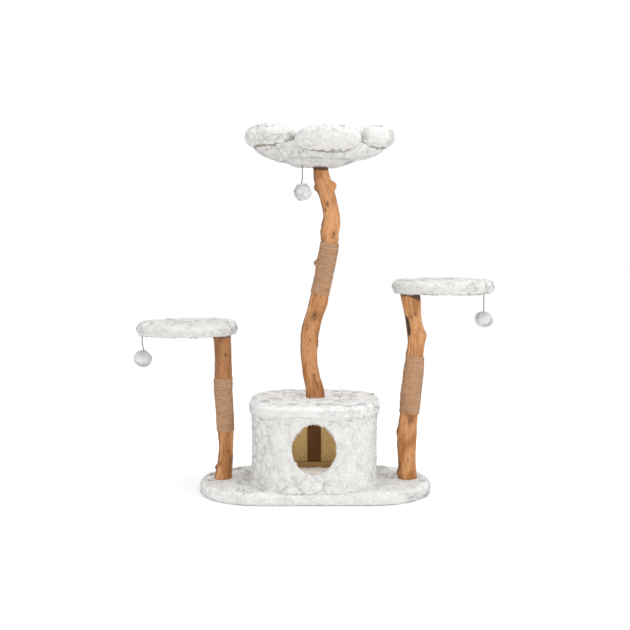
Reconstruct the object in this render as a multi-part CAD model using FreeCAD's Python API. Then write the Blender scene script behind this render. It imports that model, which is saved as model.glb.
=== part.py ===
"""Cat tree: three natural branches on a stadium base, with a den, two round perches and a petal bed.

Frame: millimetres, +Z up, +X to the right and +Y to the back, as the den's doorway faces -Y.
The origin is on the floor, at the middle of the base.
Soft parts are plain closed solids of the right size and place.
"""

import math
import os

import FreeCAD
import Part

V = FreeCAD.Vector
UP = V(0, 0, 1)
GAP = 0.3  # clearance between parts that sit against each other

# Base, from the floor up: felt, board, foam and plush.
BASE_WIDTH, BASE_DEPTH, BASE_TOP = 842.0, 456.0, 43.0
FELT = 2.0
BASE_BOARD = 18.0
BASE_FOAM = 10.0
BASE_SIDE = 14.0  # plush thickness round the board's edge
PLUSH = 12.0  # plush thickness over the flat faces
BASE_BOARD_TOP = FELT + BASE_BOARD
BASE_FOAM_TOP = BASE_BOARD_TOP + BASE_FOAM

# Den: a bent wall in a rounded rectangle, under an overhanging lid.
DEN_X = -3.0
DEN_WIDTH, DEN_DEPTH, DEN_CORNER = 424.0, 396.0, 150.0  # outside of the wall board
WALL = 9.0
RING, RING_TOP = 15.0, 66.0  # floor ring that locates the wall
LID_BOARD = 15.0
LID_UNDER = 308.0
LID_TOP = 343.0
LID_FOAM = LID_TOP - PLUSH - LID_UNDER - LID_BOARD
LID_OVERHANG = 11.0  # of the lid board past the wall board
BAND_LOW = 296.0  # lower hem of the plush band round the lid
BAND_OUT = 25.0  # of the band's outer face past the wall board
BATTEN_WIDTH = 51.0
DOOR_Z = 198.0
DOOR_WIDTH, DOOR_HEIGHT = 152.0, 174.0  # clear opening in the plush
DOOR_EDGE = 8.0  # the board's opening is larger by this all round

# Perches and bed: centre, radius and height of the underside.
PERCH_THICK, PERCH_SIDE, PERCH_UNDER = 42.0, 13.0, 8.0
PERCH_BOARD, PERCH_FOAM = 15.0, 10.0
LEFT_PERCH = {"x": -468.5, "r": 186.0, "z": 580.0}
RIGHT_PERCH = {"x": 465.5, "r": 188.0, "z": 732.0}
BED_X, BED_UNDER, BED_LINING = 8.0, 1187.0, 6.0
BED_BOARD_R, BED_BOARD = 88.0, 15.0
BED_SEAT = 1252.0  # where the petals and the middle pad rest
PETALS, PETAL_TURN = 5, 11.0  # the first petal faces the front, turned this far to the right
PETAL_RING, PETAL_TANGENT, PETAL_RADIAL, PETAL_HALF_HEIGHT = 185.0, 114.0, 92.0, 50.0
PETAL_Z, PETAL_GAP = 1282.0, 0.8
PETAL_NAMES = ("front", "right", "back_right", "back_left", "left")
PETAL_LIFT = (-10.0, 2.0, -10.0, -10.0, 3.0)

# Branches: (height, x, y, radius) up the middle of each, and knots as (height, x, y, radius).
MIDDLE_BRANCH = (
    (323, 3, 0, 34), (366, 1, 2, 35), (397, -5, 4, 34), (430, -14, 6, 32), (490, -23, 9, 30),
    (550, -22, 10, 32), (611, -12, 9, 33.5), (671, 5, 7, 33), (732, 18, 3, 33), (793, 32, 0, 33),
    (853, 43, -3, 33), (913, 53, -5, 31.5), (950, 56, -5, 32), (986, 61, -5, 31), (1034, 56, -4, 29),
    (1094, 41, -2, 32), (1125, 31, -1, 32), (1155, 24, 0, 29), (1193, 15, 0, 28.5),
)
MIDDLE_KNOTS = ((1117, 60, -6, 19), (1112, 12, -4, 17), (948, 36, -12, 14), (838, 9, -10, 13))
LEFT_BRANCH = (
    (20, -341, 0, 33), (50, -339, 0, 32), (80, -335, 1, 29.5), (125, -331, 2, 28), (182, -329, 2, 28),
    (240, -331, 2, 29.5), (300, -333, 1, 30), (360, -336.5, 0, 31), (419, -337.5, -1, 31.5),
    (485, -337, -1, 31), (520, -338, 0, 30.5), (552, -341, 0, 32), (588, -344, 0, 34),
)
LEFT_KNOTS = ((86, -362, -4, 9), (40, -366, -4, 10))
RIGHT_BRANCH = (
    (20, 347, 0, 33), (57, 343, 0, 32.5), (102, 341, 1, 31), (140, 338, 3, 33.5), (182, 339, 4, 34.5),
    (240, 343, 4, 34), (289, 348, 3, 34), (360, 353, 1, 36), (440, 360, -1, 34), (499, 367, -2, 32),
    (543, 370, -2, 31), (580, 368, -1, 31), (624, 362, 0, 30), (677, 355, 0, 33), (722, 348, 0, 37),
    (740, 346, 0, 38),
)
RIGHT_KNOTS = ((575, 389, -6, 14), (202, 316, -8, 14), (64, 316, -4, 13))
# Rope wraps: (branch, lower end, upper end, thickness over the wood).
ROPE = 4.5
MIDDLE_WRAP = ((16, 3, 723), (53, -5, 914))
LEFT_WRAP = ((-330.5, 2, 220), (-337.5, -1, 419))
RIGHT_WRAP = ((347.5, 3, 286), (367, -2, 500))

# Fasteners at both ends of every branch: bolt, washer and threaded insert.
BOLT_R, BOLT_HEAD_R, BOLT_HEAD, BOLT_LENGTH = 4.0, 6.5, 6.0, 55.0
WASHER_R, WASHER = 12.0, 1.8
RECESS_R, RECESS = 13.0, 8.0
BORE_R = 4.5
INSERT_R, INSERT_LENGTH = 7.0, 25.0

# Toys: pom-poms on elastic cords. The pivot is this far under the plush.
PIVOT_DROP, CORD_R, KNOT_R, BALL_R = 4.0, 1.5, 2.0, 32.0
TOYS = {
    "left": {"pivot": V(-633, 0, LEFT_PERCH["z"] - PIVOT_DROP), "ball": V(0, 0, -88), "route": (
        (0, 0, -2.3), (-0.8, 0.3, -18), (0.3, 0.6, -35), (3.8, 0.4, -51), (8.0, 0.2, -65), (7.6, 0, -79),
    )},
    "right": {"pivot": V(617, 0, RIGHT_PERCH["z"] - PIVOT_DROP), "ball": V(0, 0, -95), "route": (
        (0, 0, -2.3), (0.5, 0.6, -22), (-0.3, 0.4, -43), (0.4, -0.4, -64), (0.0, 0.0, -84),
    )},
    "bed": {"pivot": V(-45, -58, BED_UNDER - PIVOT_DROP), "ball": V(0, 0, -91), "route": (
        (0, 0, -2.3), (-0.4, 0.5, -20), (0.1, 0.5, -38), (-1.2, 0, -55), (-5.6, -0.3, -67), (-4.8, 0, -80),
    )},
}
END_KNOT_R, ANCHOR_R = 3.0, 3.5


def save(name, shape):
    """Writes one sub-part's STEP file."""
    for solid in shape.Solids:
        if not solid.isValid() or solid.Volume <= 0:
            print("BAD SOLID in", name)
    shape.exportStep(os.path.join("parts", name + ".step"))
    print(f"{name}: {len(shape.Solids)} solid(s), {shape.Volume / 1000:.1f} cm3")


# ---------------------------------------------------------------- shapes

def outline(width, depth, radius, x=0.0):
    """A rounded rectangle as a wire in the XY plane; with radius = depth / 2 it is a stadium."""
    half_w, half_d = width / 2, depth / 2
    turns = []
    for sign_x, sign_y, start in ((1, 1, 0), (-1, 1, 90), (-1, -1, 180), (1, -1, 270)):
        centre = V(x + sign_x * (half_w - radius), sign_y * (half_d - radius), 0)
        ends = []
        for angle in (start, start + 45, start + 90):
            a = math.radians(angle)
            ends.append(centre + V(radius * math.cos(a), radius * math.sin(a), 0))
        turns.append(ends)
    edges = []
    for i, ends in enumerate(turns):
        edges.append(Part.Arc(*ends).toShape())
        after = turns[(i + 1) % len(turns)][0]
        if (after - ends[2]).Length > 1e-6:
            edges.append(Part.LineSegment(ends[2], after).toShape())
    return Part.Wire(Part.__sortEdges__(edges))


def block(width, depth, radius, low, high, x=0.0):
    """A rounded rectangle or stadium, extruded from one height to another."""
    face = Part.Face(outline(width, depth, radius, x))
    face.translate(V(0, 0, low))
    return face.extrude(V(0, 0, high - low))


def disc(radius, low, high, x=0.0, y=0.0):
    """An upright cylinder."""
    return Part.makeCylinder(radius, high - low, V(x, y, low))


def soften(solid, radius, *heights):
    """Rounds every edge that lies flat at one of the heights."""
    flat = [e for e in solid.Edges
            if any(abs(e.BoundBox.ZMin - z) < 1e-6 and abs(e.BoundBox.ZMax - z) < 1e-6 for z in heights)]
    return solid.makeFillet(radius, flat)


def oval_through(width, height, x, z, y0, y1):
    """An upright oval prism along Y."""
    ellipse = Part.Ellipse(V(x, y0, z + height / 2), V(x + width / 2, y0, z), V(x, y0, z))
    return Part.Face(Part.Wire(ellipse.toShape())).extrude(V(0, y1 - y0, 0))


def branch_skin(stations, extra=0.0):
    """A smooth loft through a branch's round sections, each grown by extra."""
    rings = []
    for height, x, y, radius in stations:
        rings.append(Part.Wire(Part.makeCircle(radius + extra, V(x, y, height), UP)))
    return Part.makeLoft(rings, True, False)


def cord_edges(points, name):
    """Straight runs joined by tangent arcs, each arc as large as its two runs allow."""
    edges, start = [], points[0]
    for before, corner, after in zip(points, points[1:], points[2:]):
        way_in, way_out = (corner - before), (after - corner)
        shorter = min(way_in.Length, way_out.Length)
        way_in.normalize()
        way_out.normalize()
        turn = way_in.getAngle(way_out)
        reach = 0.45 * shorter
        radius = reach / math.tan(turn / 2)
        print(f"  {name}: turn {math.degrees(turn):.1f} degrees, radius {radius:.0f} mm")
        arc_in, arc_out = corner - way_in * reach, corner + way_out * reach
        inward = way_out - way_in
        inward.normalize()
        middle = corner + inward * (radius / math.cos(turn / 2) - radius)
        edges.append(Part.LineSegment(start, arc_in).toShape())
        edges.append(Part.Arc(arc_in, middle, arc_out).toShape())
        start = arc_out
    edges.append(Part.LineSegment(start, points[-1]).toShape())
    return edges


def cord_tube(points, radius, name):
    """A round tube along a cord's route."""
    path = Part.Wire(cord_edges(points, name))
    section = Part.Wire(Part.makeCircle(radius, points[0], points[1] - points[0]))
    tube = path.makePipeShell([section], True, False)
    ratio = tube.Volume / (math.pi * radius ** 2 * path.Length)
    print(f"  {name}: length {path.Length:.1f} mm, volume over section times length {ratio:.4f}")
    return tube


# ---------------------------------------------------------------- fasteners

def joint_ends():
    """Where each branch is bolted: (x, y, face height of the wood, +1 if the wood is above that face)."""
    ends = []
    for stations in (MIDDLE_BRANCH, LEFT_BRANCH, RIGHT_BRANCH):
        low, high = stations[0], stations[-1]
        ends.append((low[1], low[2], low[0], 1))
        ends.append((high[1], high[2], high[0], -1))
    return ends


def upright(radius, z0, z1, x, y):
    """A cylinder between two heights given in either order."""
    return disc(radius, min(z0, z1), max(z0, z1), x, y)


def bolt(x, y, face, side, board):
    """A bolt through a board of that thickness into the wood, with its head in the board's recess."""
    seat = face - side * (board - RECESS)
    head = upright(BOLT_HEAD_R, seat - side * WASHER, seat - side * (WASHER + BOLT_HEAD), x, y)
    shank = upright(BOLT_R, seat - side * WASHER, seat - side * WASHER + side * BOLT_LENGTH, x, y)
    return head.fuse(shank).removeSplitter()


def washer(x, y, face, side, board):
    """The washer between a bolt's head and the floor of its recess."""
    seat = face - side * (board - RECESS)
    ring = upright(WASHER_R, seat, seat - side * WASHER, x, y)
    return ring.cut(upright(BORE_R, seat + side, seat - side * (WASHER + 1), x, y))


def insert(x, y, face, side):
    """The threaded insert in the branch's end."""
    near, far = face + side * GAP, face + side * (GAP + INSERT_LENGTH)
    body = upright(INSERT_R, near, far, x, y)
    return body.cut(upright(BOLT_R + 0.1, near - side, far + side, x, y))


def branch_bores(x, y, face, side):
    """The holes in a branch's end for its insert and bolt."""
    wide = upright(INSERT_R + 0.1, face - side, face + side * (2 * GAP + INSERT_LENGTH), x, y)
    deep = upright(BORE_R, face - side, face + side * (BOLT_LENGTH + 2), x, y)
    return wide.fuse(deep)


def board_bores(x, y, face, side, board):
    """The bolt hole and head recess in a board that lies against a branch's end."""
    through = upright(BORE_R, face + side, face - side * (board + 1), x, y)
    recess = upright(RECESS_R, face - side * (board - RECESS), face - side * (board + 1), x, y)
    return through.fuse(recess)


def end_boards():
    """Thickness of the board at each branch end, in the order of joint_ends()."""
    return (LID_BOARD, BED_BOARD, BASE_BOARD, PERCH_BOARD, BASE_BOARD, PERCH_BOARD)


def build_fasteners():
    """Six bolts, washers and inserts, one set at each end of every branch."""
    places = list(zip(joint_ends(), end_boards()))
    save("branch_bolts", Part.makeCompound([bolt(*end, board) for end, board in places]))
    save("branch_washers", Part.makeCompound([washer(*end, board) for end, board in places]))
    save("branch_inserts", Part.makeCompound([insert(*end) for end, board in places]))


# ---------------------------------------------------------------- branches

def build_branch(name, stations, knots, wrap, ends):
    """One branch with its knots and end bores, and the sleeve of rope wound round it."""
    skin = branch_skin(stations)
    wood = skin
    for height, x, y, radius in knots:
        wood = wood.fuse(Part.makeSphere(radius, V(x, y, height)))
    for end in ends:
        wood = wood.cut(branch_bores(*end))
    low, high = V(*wrap[0]), V(*wrap[1])
    reach = Part.makeCylinder(90, (high - low).Length, low, high - low)
    sleeve = branch_skin(stations, ROPE).common(reach).cut(branch_skin(stations, GAP))
    for height, x, y, radius in knots:
        if low.z < height < high.z:
            sleeve = sleeve.cut(Part.makeSphere(radius + GAP, V(x, y, height)))
    save(name + "_branch", wood)
    save(name + "_rope_wrap", sleeve)


# ---------------------------------------------------------------- base

def den_outline(grow, low, high):
    """The den's plan, grown past the wall board's outer face, as a solid between two heights."""
    return block(DEN_WIDTH + 2 * grow, DEN_DEPTH + 2 * grow, DEN_CORNER + grow, low, high, DEN_X)


def build_base():
    """Felt, board, foam and plush of the base."""
    stadium_r = BASE_DEPTH / 2 - BASE_SIDE
    board_size = (BASE_WIDTH - 2 * BASE_SIDE, BASE_DEPTH - 2 * BASE_SIDE, stadium_r)
    low_ends = [(e, b) for e, b in zip(joint_ends(), end_boards()) if e[2] == BASE_BOARD_TOP]
    side_branches = [branch_skin(LEFT_BRANCH, 1.0), branch_skin(RIGHT_BRANCH, 1.0)]
    for height, x, y, radius in LEFT_KNOTS + RIGHT_KNOTS:
        if height - radius < BASE_TOP:
            side_branches.append(Part.makeSphere(radius + 1, V(x, y, height)))

    felt = block(*board_size, 0, FELT)
    board = block(*board_size, FELT, BASE_BOARD_TOP)
    for (x, y, face, side), thick in low_ends:
        felt = felt.cut(disc(RECESS_R + 1, -1, FELT + 1, x, y))
        board = board.cut(board_bores(x, y, face, side, thick))
    foam = block(*board_size, BASE_BOARD_TOP, BASE_FOAM_TOP).cut(den_outline(GAP, 0, 100))
    outer = soften(block(BASE_WIDTH, BASE_DEPTH, BASE_DEPTH / 2, FELT, BASE_TOP), 11, BASE_TOP)
    core = block(board_size[0] + 2 * GAP, board_size[1] + 2 * GAP, stadium_r + GAP, 0, BASE_FOAM_TOP)
    cover = outer.cut(core).cut(den_outline(GAP, 0, 100))
    for branch in side_branches:
        foam = foam.cut(branch)
        cover = cover.cut(branch)
    save("base_felt", felt)
    save("base_board", board)
    save("base_foam", foam)
    save("base_cover", cover)


# ---------------------------------------------------------------- den

def build_den():
    """Wall, floor ring, batten, lid and plush of the den."""
    front, back = -DEN_DEPTH / 2, DEN_DEPTH / 2
    board_door = oval_through(DOOR_WIDTH + 2 * DOOR_EDGE, DOOR_HEIGHT + 2 * DOOR_EDGE, DEN_X, DOOR_Z,
                              front - 40, front + 60)
    plush_door = oval_through(DOOR_WIDTH, DOOR_HEIGHT, DEN_X, DOOR_Z, front - 40, front + 60)
    middle_hole = branch_skin(MIDDLE_BRANCH, 1.0)

    wall = den_outline(0, BASE_BOARD_TOP, LID_UNDER).cut(den_outline(-WALL, 0, 400)).cut(board_door)
    ring_outer = den_outline(-WALL - GAP, BASE_BOARD_TOP, RING_TOP)
    ring = ring_outer.cut(den_outline(-WALL - RING, 0, 400))
    mat = den_outline(-WALL - RING - GAP, BASE_BOARD_TOP, BASE_TOP)
    batten = Part.makeBox(BATTEN_WIDTH, RING, LID_UNDER - RING_TOP - GAP,
                          V(DEN_X - BATTEN_WIDTH / 2, back - WALL - GAP - RING, RING_TOP))
    wall_cover = den_outline(PLUSH, BASE_TOP + GAP, LID_UNDER).cut(den_outline(GAP, 0, 400)).cut(plush_door)

    lid_end = joint_ends()[0]
    board_top, foam_top = LID_UNDER + LID_BOARD, LID_UNDER + LID_BOARD + LID_FOAM
    lid_board = den_outline(LID_OVERHANG, LID_UNDER, board_top).cut(board_bores(*lid_end, LID_BOARD))
    lid_foam = den_outline(LID_OVERHANG, board_top, foam_top).cut(middle_hole)
    band = den_outline(BAND_OUT, BAND_LOW, foam_top).cut(den_outline(PLUSH + GAP, 0, 400))
    lid_cover = soften(den_outline(BAND_OUT, foam_top, LID_TOP), 11, LID_TOP).cut(middle_hole)

    save("den_wall", wall)
    save("den_floor_ring", ring)
    save("den_floor_mat", mat)
    save("den_batten", batten)
    save("den_wall_cover", wall_cover)
    save("den_lid_board", lid_board)
    save("den_lid_foam", lid_foam)
    save("den_lid_band", band)
    save("den_lid_cover", lid_cover)


# ---------------------------------------------------------------- perches and bed

def build_perch(name, perch, stations, end):
    """Board, foam and plush of one round perch."""
    x, radius, under = perch["x"], perch["r"], perch["z"]
    board_low = under + PERCH_UNDER
    board_high, foam_high = board_low + PERCH_BOARD, board_low + PERCH_BOARD + PERCH_FOAM
    inner = radius - PERCH_SIDE
    board = disc(inner, board_low, board_high, x).cut(board_bores(*end, PERCH_BOARD))
    foam = disc(inner, board_high, foam_high, x)
    outer = soften(disc(radius, under, under + PERCH_THICK, x), 15, under, under + PERCH_THICK)
    cover = outer.cut(disc(inner + GAP, board_low, foam_high, x)).cut(branch_skin(stations, 1.0))
    save(name + "_perch_board", board)
    save(name + "_perch_foam", foam)
    save(name + "_perch_cover", cover)


def revolve_profile(points, x):
    """A solid turned about the upright axis at x, from (radius, height) points."""
    corners = [V(x + r, 0, z) for r, z in points]
    face = Part.Face(Part.makePolygon(corners + corners[:1]))
    return face.revolve(V(x, 0, 0), UP, 360)


def bed_under_profile(gap=0.0):
    """The bed's underside from its flat middle out to the seat edge, grown by gap."""
    seat = BED_SEAT + gap
    return ((0, BED_UNDER - gap), (84, BED_UNDER - gap), (118, 1196 - gap), (150, 1212 - gap),
            (185, 1231 - gap), (222 + gap, BED_SEAT), (222 + gap, seat + 0.1), (0, seat + 0.1))


def petal(index, gap=0.0):
    """One plump petal grown by gap, before it is trimmed to the seat."""
    ball = Part.makeSphere(1.0)
    ball.rotate(V(0, 0, 0), V(1, 0, 0), 90)  # its poles point inwards and outwards, clear of the seat
    stretch = FreeCAD.Matrix()
    stretch.scale(V(PETAL_TANGENT + gap, PETAL_RADIAL + gap, PETAL_HALF_HEIGHT + gap))
    body = ball.transformGeometry(stretch)
    angle = PETAL_TURN + index * 360.0 / PETALS  # from the front towards +X
    body.rotate(V(0, 0, 0), UP, angle)
    a = math.radians(angle)
    out = V(math.sin(a), -math.cos(a), 0) * PETAL_RING
    body.translate(out + V(BED_X, 0, PETAL_Z + PETAL_LIFT[index]))
    return body


def build_bed(end):
    """Board, stuffed underside, middle pad and petals of the bed."""
    board_low = BED_UNDER + BED_LINING
    board = disc(BED_BOARD_R, board_low, board_low + BED_BOARD, BED_X).cut(board_bores(*end, BED_BOARD))
    dish = revolve_profile(bed_under_profile(), BED_X)
    dish = dish.cut(disc(BED_BOARD_R + GAP, board_low, board_low + BED_BOARD + GAP, BED_X))
    dish = dish.cut(branch_skin(MIDDLE_BRANCH, 1.0))
    taken = revolve_profile(bed_under_profile(GAP), BED_X)
    petals = [petal(i).cut(taken) for i in range(PETALS)]
    pad = soften(disc(88, BED_SEAT + 0.1, BED_SEAT + 12, BED_X), 8, BED_SEAT + 12)
    for index in range(PETALS):
        pad = pad.cut(petal(index, PETAL_GAP))
    save("bed_board", board)
    save("bed_dish", dish)
    save("bed_middle_pad", pad)
    for shape, name in zip(petals, PETAL_NAMES):
        save("bed_petal_" + name, shape)


# ---------------------------------------------------------------- toys

def build_toy(name, toy):
    """Anchor tab, top knot, cord, end knot and pom-pom of one hanging toy."""
    pivot = toy["pivot"]
    route = [pivot + V(*p) for p in toy["route"]]
    anchor = disc(ANCHOR_R, pivot.z + KNOT_R + GAP, pivot.z + PIVOT_DROP, pivot.x, pivot.y)
    cord = cord_tube(route, CORD_R, name + "_toy_cord")
    bore = cord_tube(route, CORD_R + 0.2, name + "_toy_bore")
    run = route[-1] - route[-2]
    run.normalize()
    end = route[-1] + run * math.sqrt(END_KNOT_R ** 2 - CORD_R ** 2)
    above_cord_end = Part.makeCylinder(END_KNOT_R, END_KNOT_R, route[-1], -run)
    end_knot = Part.makeSphere(END_KNOT_R, end).cut(above_cord_end)
    ball = Part.makeSphere(BALL_R, pivot + toy["ball"]).cut(bore).cut(Part.makeSphere(END_KNOT_R + GAP, end))
    save(name + "_toy_anchor", anchor)
    save(name + "_toy_top_knot", Part.makeSphere(KNOT_R, pivot))
    save(name + "_toy_cord", cord)
    save(name + "_toy_end_knot", end_knot)
    save(name + "_toy_ball", ball)


def main():
    """Builds every sub-part."""
    os.makedirs("parts", exist_ok=True)
    ends = joint_ends()
    build_base()
    build_den()
    build_branch("middle", MIDDLE_BRANCH, MIDDLE_KNOTS, MIDDLE_WRAP, ends[0:2])
    build_branch("left", LEFT_BRANCH, LEFT_KNOTS, LEFT_WRAP, ends[2:4])
    build_branch("right", RIGHT_BRANCH, RIGHT_KNOTS, RIGHT_WRAP, ends[4:6])
    build_fasteners()
    build_perch("left", LEFT_PERCH, LEFT_BRANCH, ends[3])
    build_perch("right", RIGHT_PERCH, RIGHT_BRANCH, ends[5])
    build_bed(ends[1])
    for name, toy in TOYS.items():
        build_toy(name, toy)


main()
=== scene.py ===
"""The looks of a cat tree: plush covers with a real pile, peeled branches, wound rope and fluffy toys.

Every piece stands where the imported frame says. Lengths are metres, +Z is up and the den's doorway faces -Y.
"""

import logging
import math
from collections.abc import Iterable, Sequence
from dataclasses import dataclass, field
from enum import Enum

import bpy
import numpy as np
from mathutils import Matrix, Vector, noise
from mathutils.bvhtree import BVHTree


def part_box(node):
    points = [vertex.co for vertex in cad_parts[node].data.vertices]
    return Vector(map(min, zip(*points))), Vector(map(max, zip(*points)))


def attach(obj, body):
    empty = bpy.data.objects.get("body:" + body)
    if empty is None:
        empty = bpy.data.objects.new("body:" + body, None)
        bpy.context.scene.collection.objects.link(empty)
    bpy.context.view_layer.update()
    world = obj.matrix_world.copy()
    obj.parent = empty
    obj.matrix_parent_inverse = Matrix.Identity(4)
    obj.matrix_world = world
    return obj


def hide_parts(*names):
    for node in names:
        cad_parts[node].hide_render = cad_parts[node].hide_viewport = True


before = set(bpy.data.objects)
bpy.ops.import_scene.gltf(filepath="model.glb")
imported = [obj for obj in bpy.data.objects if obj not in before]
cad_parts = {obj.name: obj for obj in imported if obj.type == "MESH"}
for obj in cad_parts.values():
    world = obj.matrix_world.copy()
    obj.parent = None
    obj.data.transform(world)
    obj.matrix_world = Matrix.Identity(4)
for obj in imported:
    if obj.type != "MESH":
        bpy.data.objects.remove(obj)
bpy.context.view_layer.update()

log = logging.getLogger("cat_tree")
STAND = "stand"
TURN = 2 * math.pi
CLOTH_FRAMES = 20

Triple = tuple[float, float, float]


class Flow(Enum):
    """How strongly a plush's pile is brushed downwards."""

    DOWN = 0.9
    SWIRL = 0.15


# ---------------------------------------------------------------- node trees

@dataclass(frozen=True)
class Wire:
    """One output socket of a node, usable in Python arithmetic."""

    graph: "Graph"
    socket: bpy.types.NodeSocket

    def maths(self, operation: str, first: "Number", second: "Number") -> "Wire":
        """Adds one Math node."""
        return self.graph.node("ShaderNodeMath", {0: first, 1: second}, operation=operation)

    def __add__(self, other: "Number") -> "Wire":
        """self + other."""
        return self.maths("ADD", self, other)

    def __radd__(self, other: "Number") -> "Wire":
        """other + self."""
        return self.maths("ADD", other, self)

    def __sub__(self, other: "Number") -> "Wire":
        """self - other."""
        return self.maths("SUBTRACT", self, other)

    def __rsub__(self, other: "Number") -> "Wire":
        """other - self."""
        return self.maths("SUBTRACT", other, self)

    def __mul__(self, other: "Number") -> "Wire":
        """self * other."""
        return self.maths("MULTIPLY", self, other)

    def __rmul__(self, other: "Number") -> "Wire":
        """other * self."""
        return self.maths("MULTIPLY", other, self)

    def __truediv__(self, other: "Number") -> "Wire":
        """self / other."""
        return self.maths("DIVIDE", self, other)

    def __rtruediv__(self, other: "Number") -> "Wire":
        """other / self."""
        return self.maths("DIVIDE", other, self)

    def sine(self) -> "Wire":
        """The sine, in radians."""
        return self.maths("SINE", self, 0.0)

    def larger(self, other: "Wire") -> "Wire":
        """The larger of two numbers."""
        return self.maths("MAXIMUM", self, other)

    def step(self, low: "Number", high: "Number") -> "Wire":
        """0 below low and 1 above high, smooth between them. With a low above the high it falls instead."""
        if isinstance(low, float) and isinstance(high, float) and low > high:
            return 1.0 - self.step(high, low)
        return self.graph.node("ShaderNodeMapRange", {0: self, 1: low, 2: high},
                               interpolation_type="SMOOTHSTEP")

    def other(self, name: str) -> "Wire":
        """Another output of the same node."""
        return Wire(self.graph, self.socket.node.outputs[name])

    def vector(self, operation: str, other: "Wire | Triple | None" = None, output: int = 0) -> "Wire":
        """Adds one Vector Math node, whose output is 0 for the vector and 1 for the value."""
        inputs = {0: self} if other is None else {0: self, 1: other}
        return self.graph.node("ShaderNodeVectorMath", inputs, output, operation=operation)

    def plus(self, other: "Wire") -> "Wire":
        """The sum of two vectors."""
        return self.vector("ADD", other)

    def minus(self, other: "Wire | Triple") -> "Wire":
        """The difference of two vectors."""
        return self.vector("SUBTRACT", other)

    def times(self, factor: "Number") -> "Wire":
        """The vector made longer or shorter."""
        return self.graph.node("ShaderNodeVectorMath", {0: self, 3: factor}, operation="SCALE")

    def unit(self) -> "Wire":
        """The vector with a length of 1."""
        return self.vector("NORMALIZE")


Number = Wire | float
Colour = Wire | Triple


class Graph:
    """Adds nodes to one node tree."""

    def __init__(self, tree: bpy.types.NodeTree) -> None:
        """Takes the tree to add to."""
        self.tree = tree

    def feed(self, socket: bpy.types.NodeSocket, value: object) -> None:
        """Links a wire to a socket, or sets the socket's own value."""
        if isinstance(value, Wire):
            self.tree.links.new(value.socket, socket)
        else:
            socket.default_value = value

    def node(self, kind: str, inputs: dict | None = None, output: int | str = 0, **settings: object) -> Wire:
        """Adds a node.

        Args:
            kind: the node's type.
            inputs: the values or wires of its sockets, by number or name.
            output: the output to return, by number or name.
            settings: the node's own settings, such as a Math node's operation, set first.

        Returns:
            The node's output.
        """
        made = self.tree.nodes.new(kind)
        for name, value in settings.items():
            setattr(made, name, value)
        for key, value in (inputs or {}).items():
            self.feed(made.inputs[key], value)
        return Wire(self, made.outputs[output])

    def noise(self, place: Wire, size: Number, detail: float = 3.0, output: int = 0) -> Wire:
        """A noise pattern with features of that size, from 0 to 1, or its colour as output 1."""
        inputs = {"Vector": place, "Scale": 1.0 / size, "Detail": detail}
        return self.node("ShaderNodeTexNoise", inputs, output)

    def drift(self, place: Wire, size: float, detail: float, amount: float) -> Wire:
        """A vector that wanders smoothly over the place, by up to half the amount either way."""
        return self.noise(place, size, detail, 1).minus((0.5, 0.5, 0.5)).times(amount)

    def stretched(self, place: Wire, scale: Triple) -> Wire:
        """A place multiplied by a different number along each axis."""
        return place.vector("MULTIPLY", scale)

    def axis(self, place: Wire, name: str) -> Wire:
        """One of a vector's three numbers, by the name of its axis."""
        return self.node("ShaderNodeSeparateXYZ", {0: place}, name)

    def combined(self, x: Number = 0.0, y: Number = 0.0, z: Number = 0.0) -> Wire:
        """The vector of three numbers."""
        return self.node("ShaderNodeCombineXYZ", {0: x, 1: y, 2: z})

    def mix(self, factor: Wire, first: Colour, second: Colour) -> Wire:
        """A mix of two colours."""
        ends = [end if isinstance(end, Wire) else (*end, 1.0) for end in (first, second)]
        return self.node("ShaderNodeMix", {0: factor, 6: ends[0], 7: ends[1]}, 2, data_type="RGBA")

    def attribute(self, name: str) -> Wire:
        """A number stored on the mesh, read by a shader."""
        return self.node("ShaderNodeAttribute", output="Fac", attribute_name=name)


class Shader(Graph):
    """A material under construction."""

    def __init__(self, name: str, **fixed: float) -> None:
        """Makes the material and sets its shader's own sockets, by name with spaces as underscores."""
        self.material = bpy.data.materials.new(name)
        self.material.use_nodes = True
        super().__init__(self.material.node_tree)
        self.surface = self.tree.nodes["Principled BSDF"]
        for key, value in fixed.items():
            self.surface.inputs[key.replace("_", " ")].default_value = value
        self.place = self.node("ShaderNodeTexCoord", output="Object")

    def finish(self, colour: Wire, roughness: Number, height: Wire | None = None,
               depth: float = 0.001) -> bpy.types.Material:
        """Connects the shader.

        Args:
            colour: the base colour.
            roughness: the roughness.
            height: a height field for the bump, in units of depth.
            depth: the bump's depth in metres.

        Returns:
            The finished material.
        """
        self.feed(self.surface.inputs["Base Color"], colour)
        self.feed(self.surface.inputs["Roughness"], roughness)
        if height is not None:
            bump = self.node("ShaderNodeBump", {"Height": height, "Distance": depth, "Strength": 1.0})
            self.feed(self.surface.inputs["Normal"], bump)
        return self.material


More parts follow.
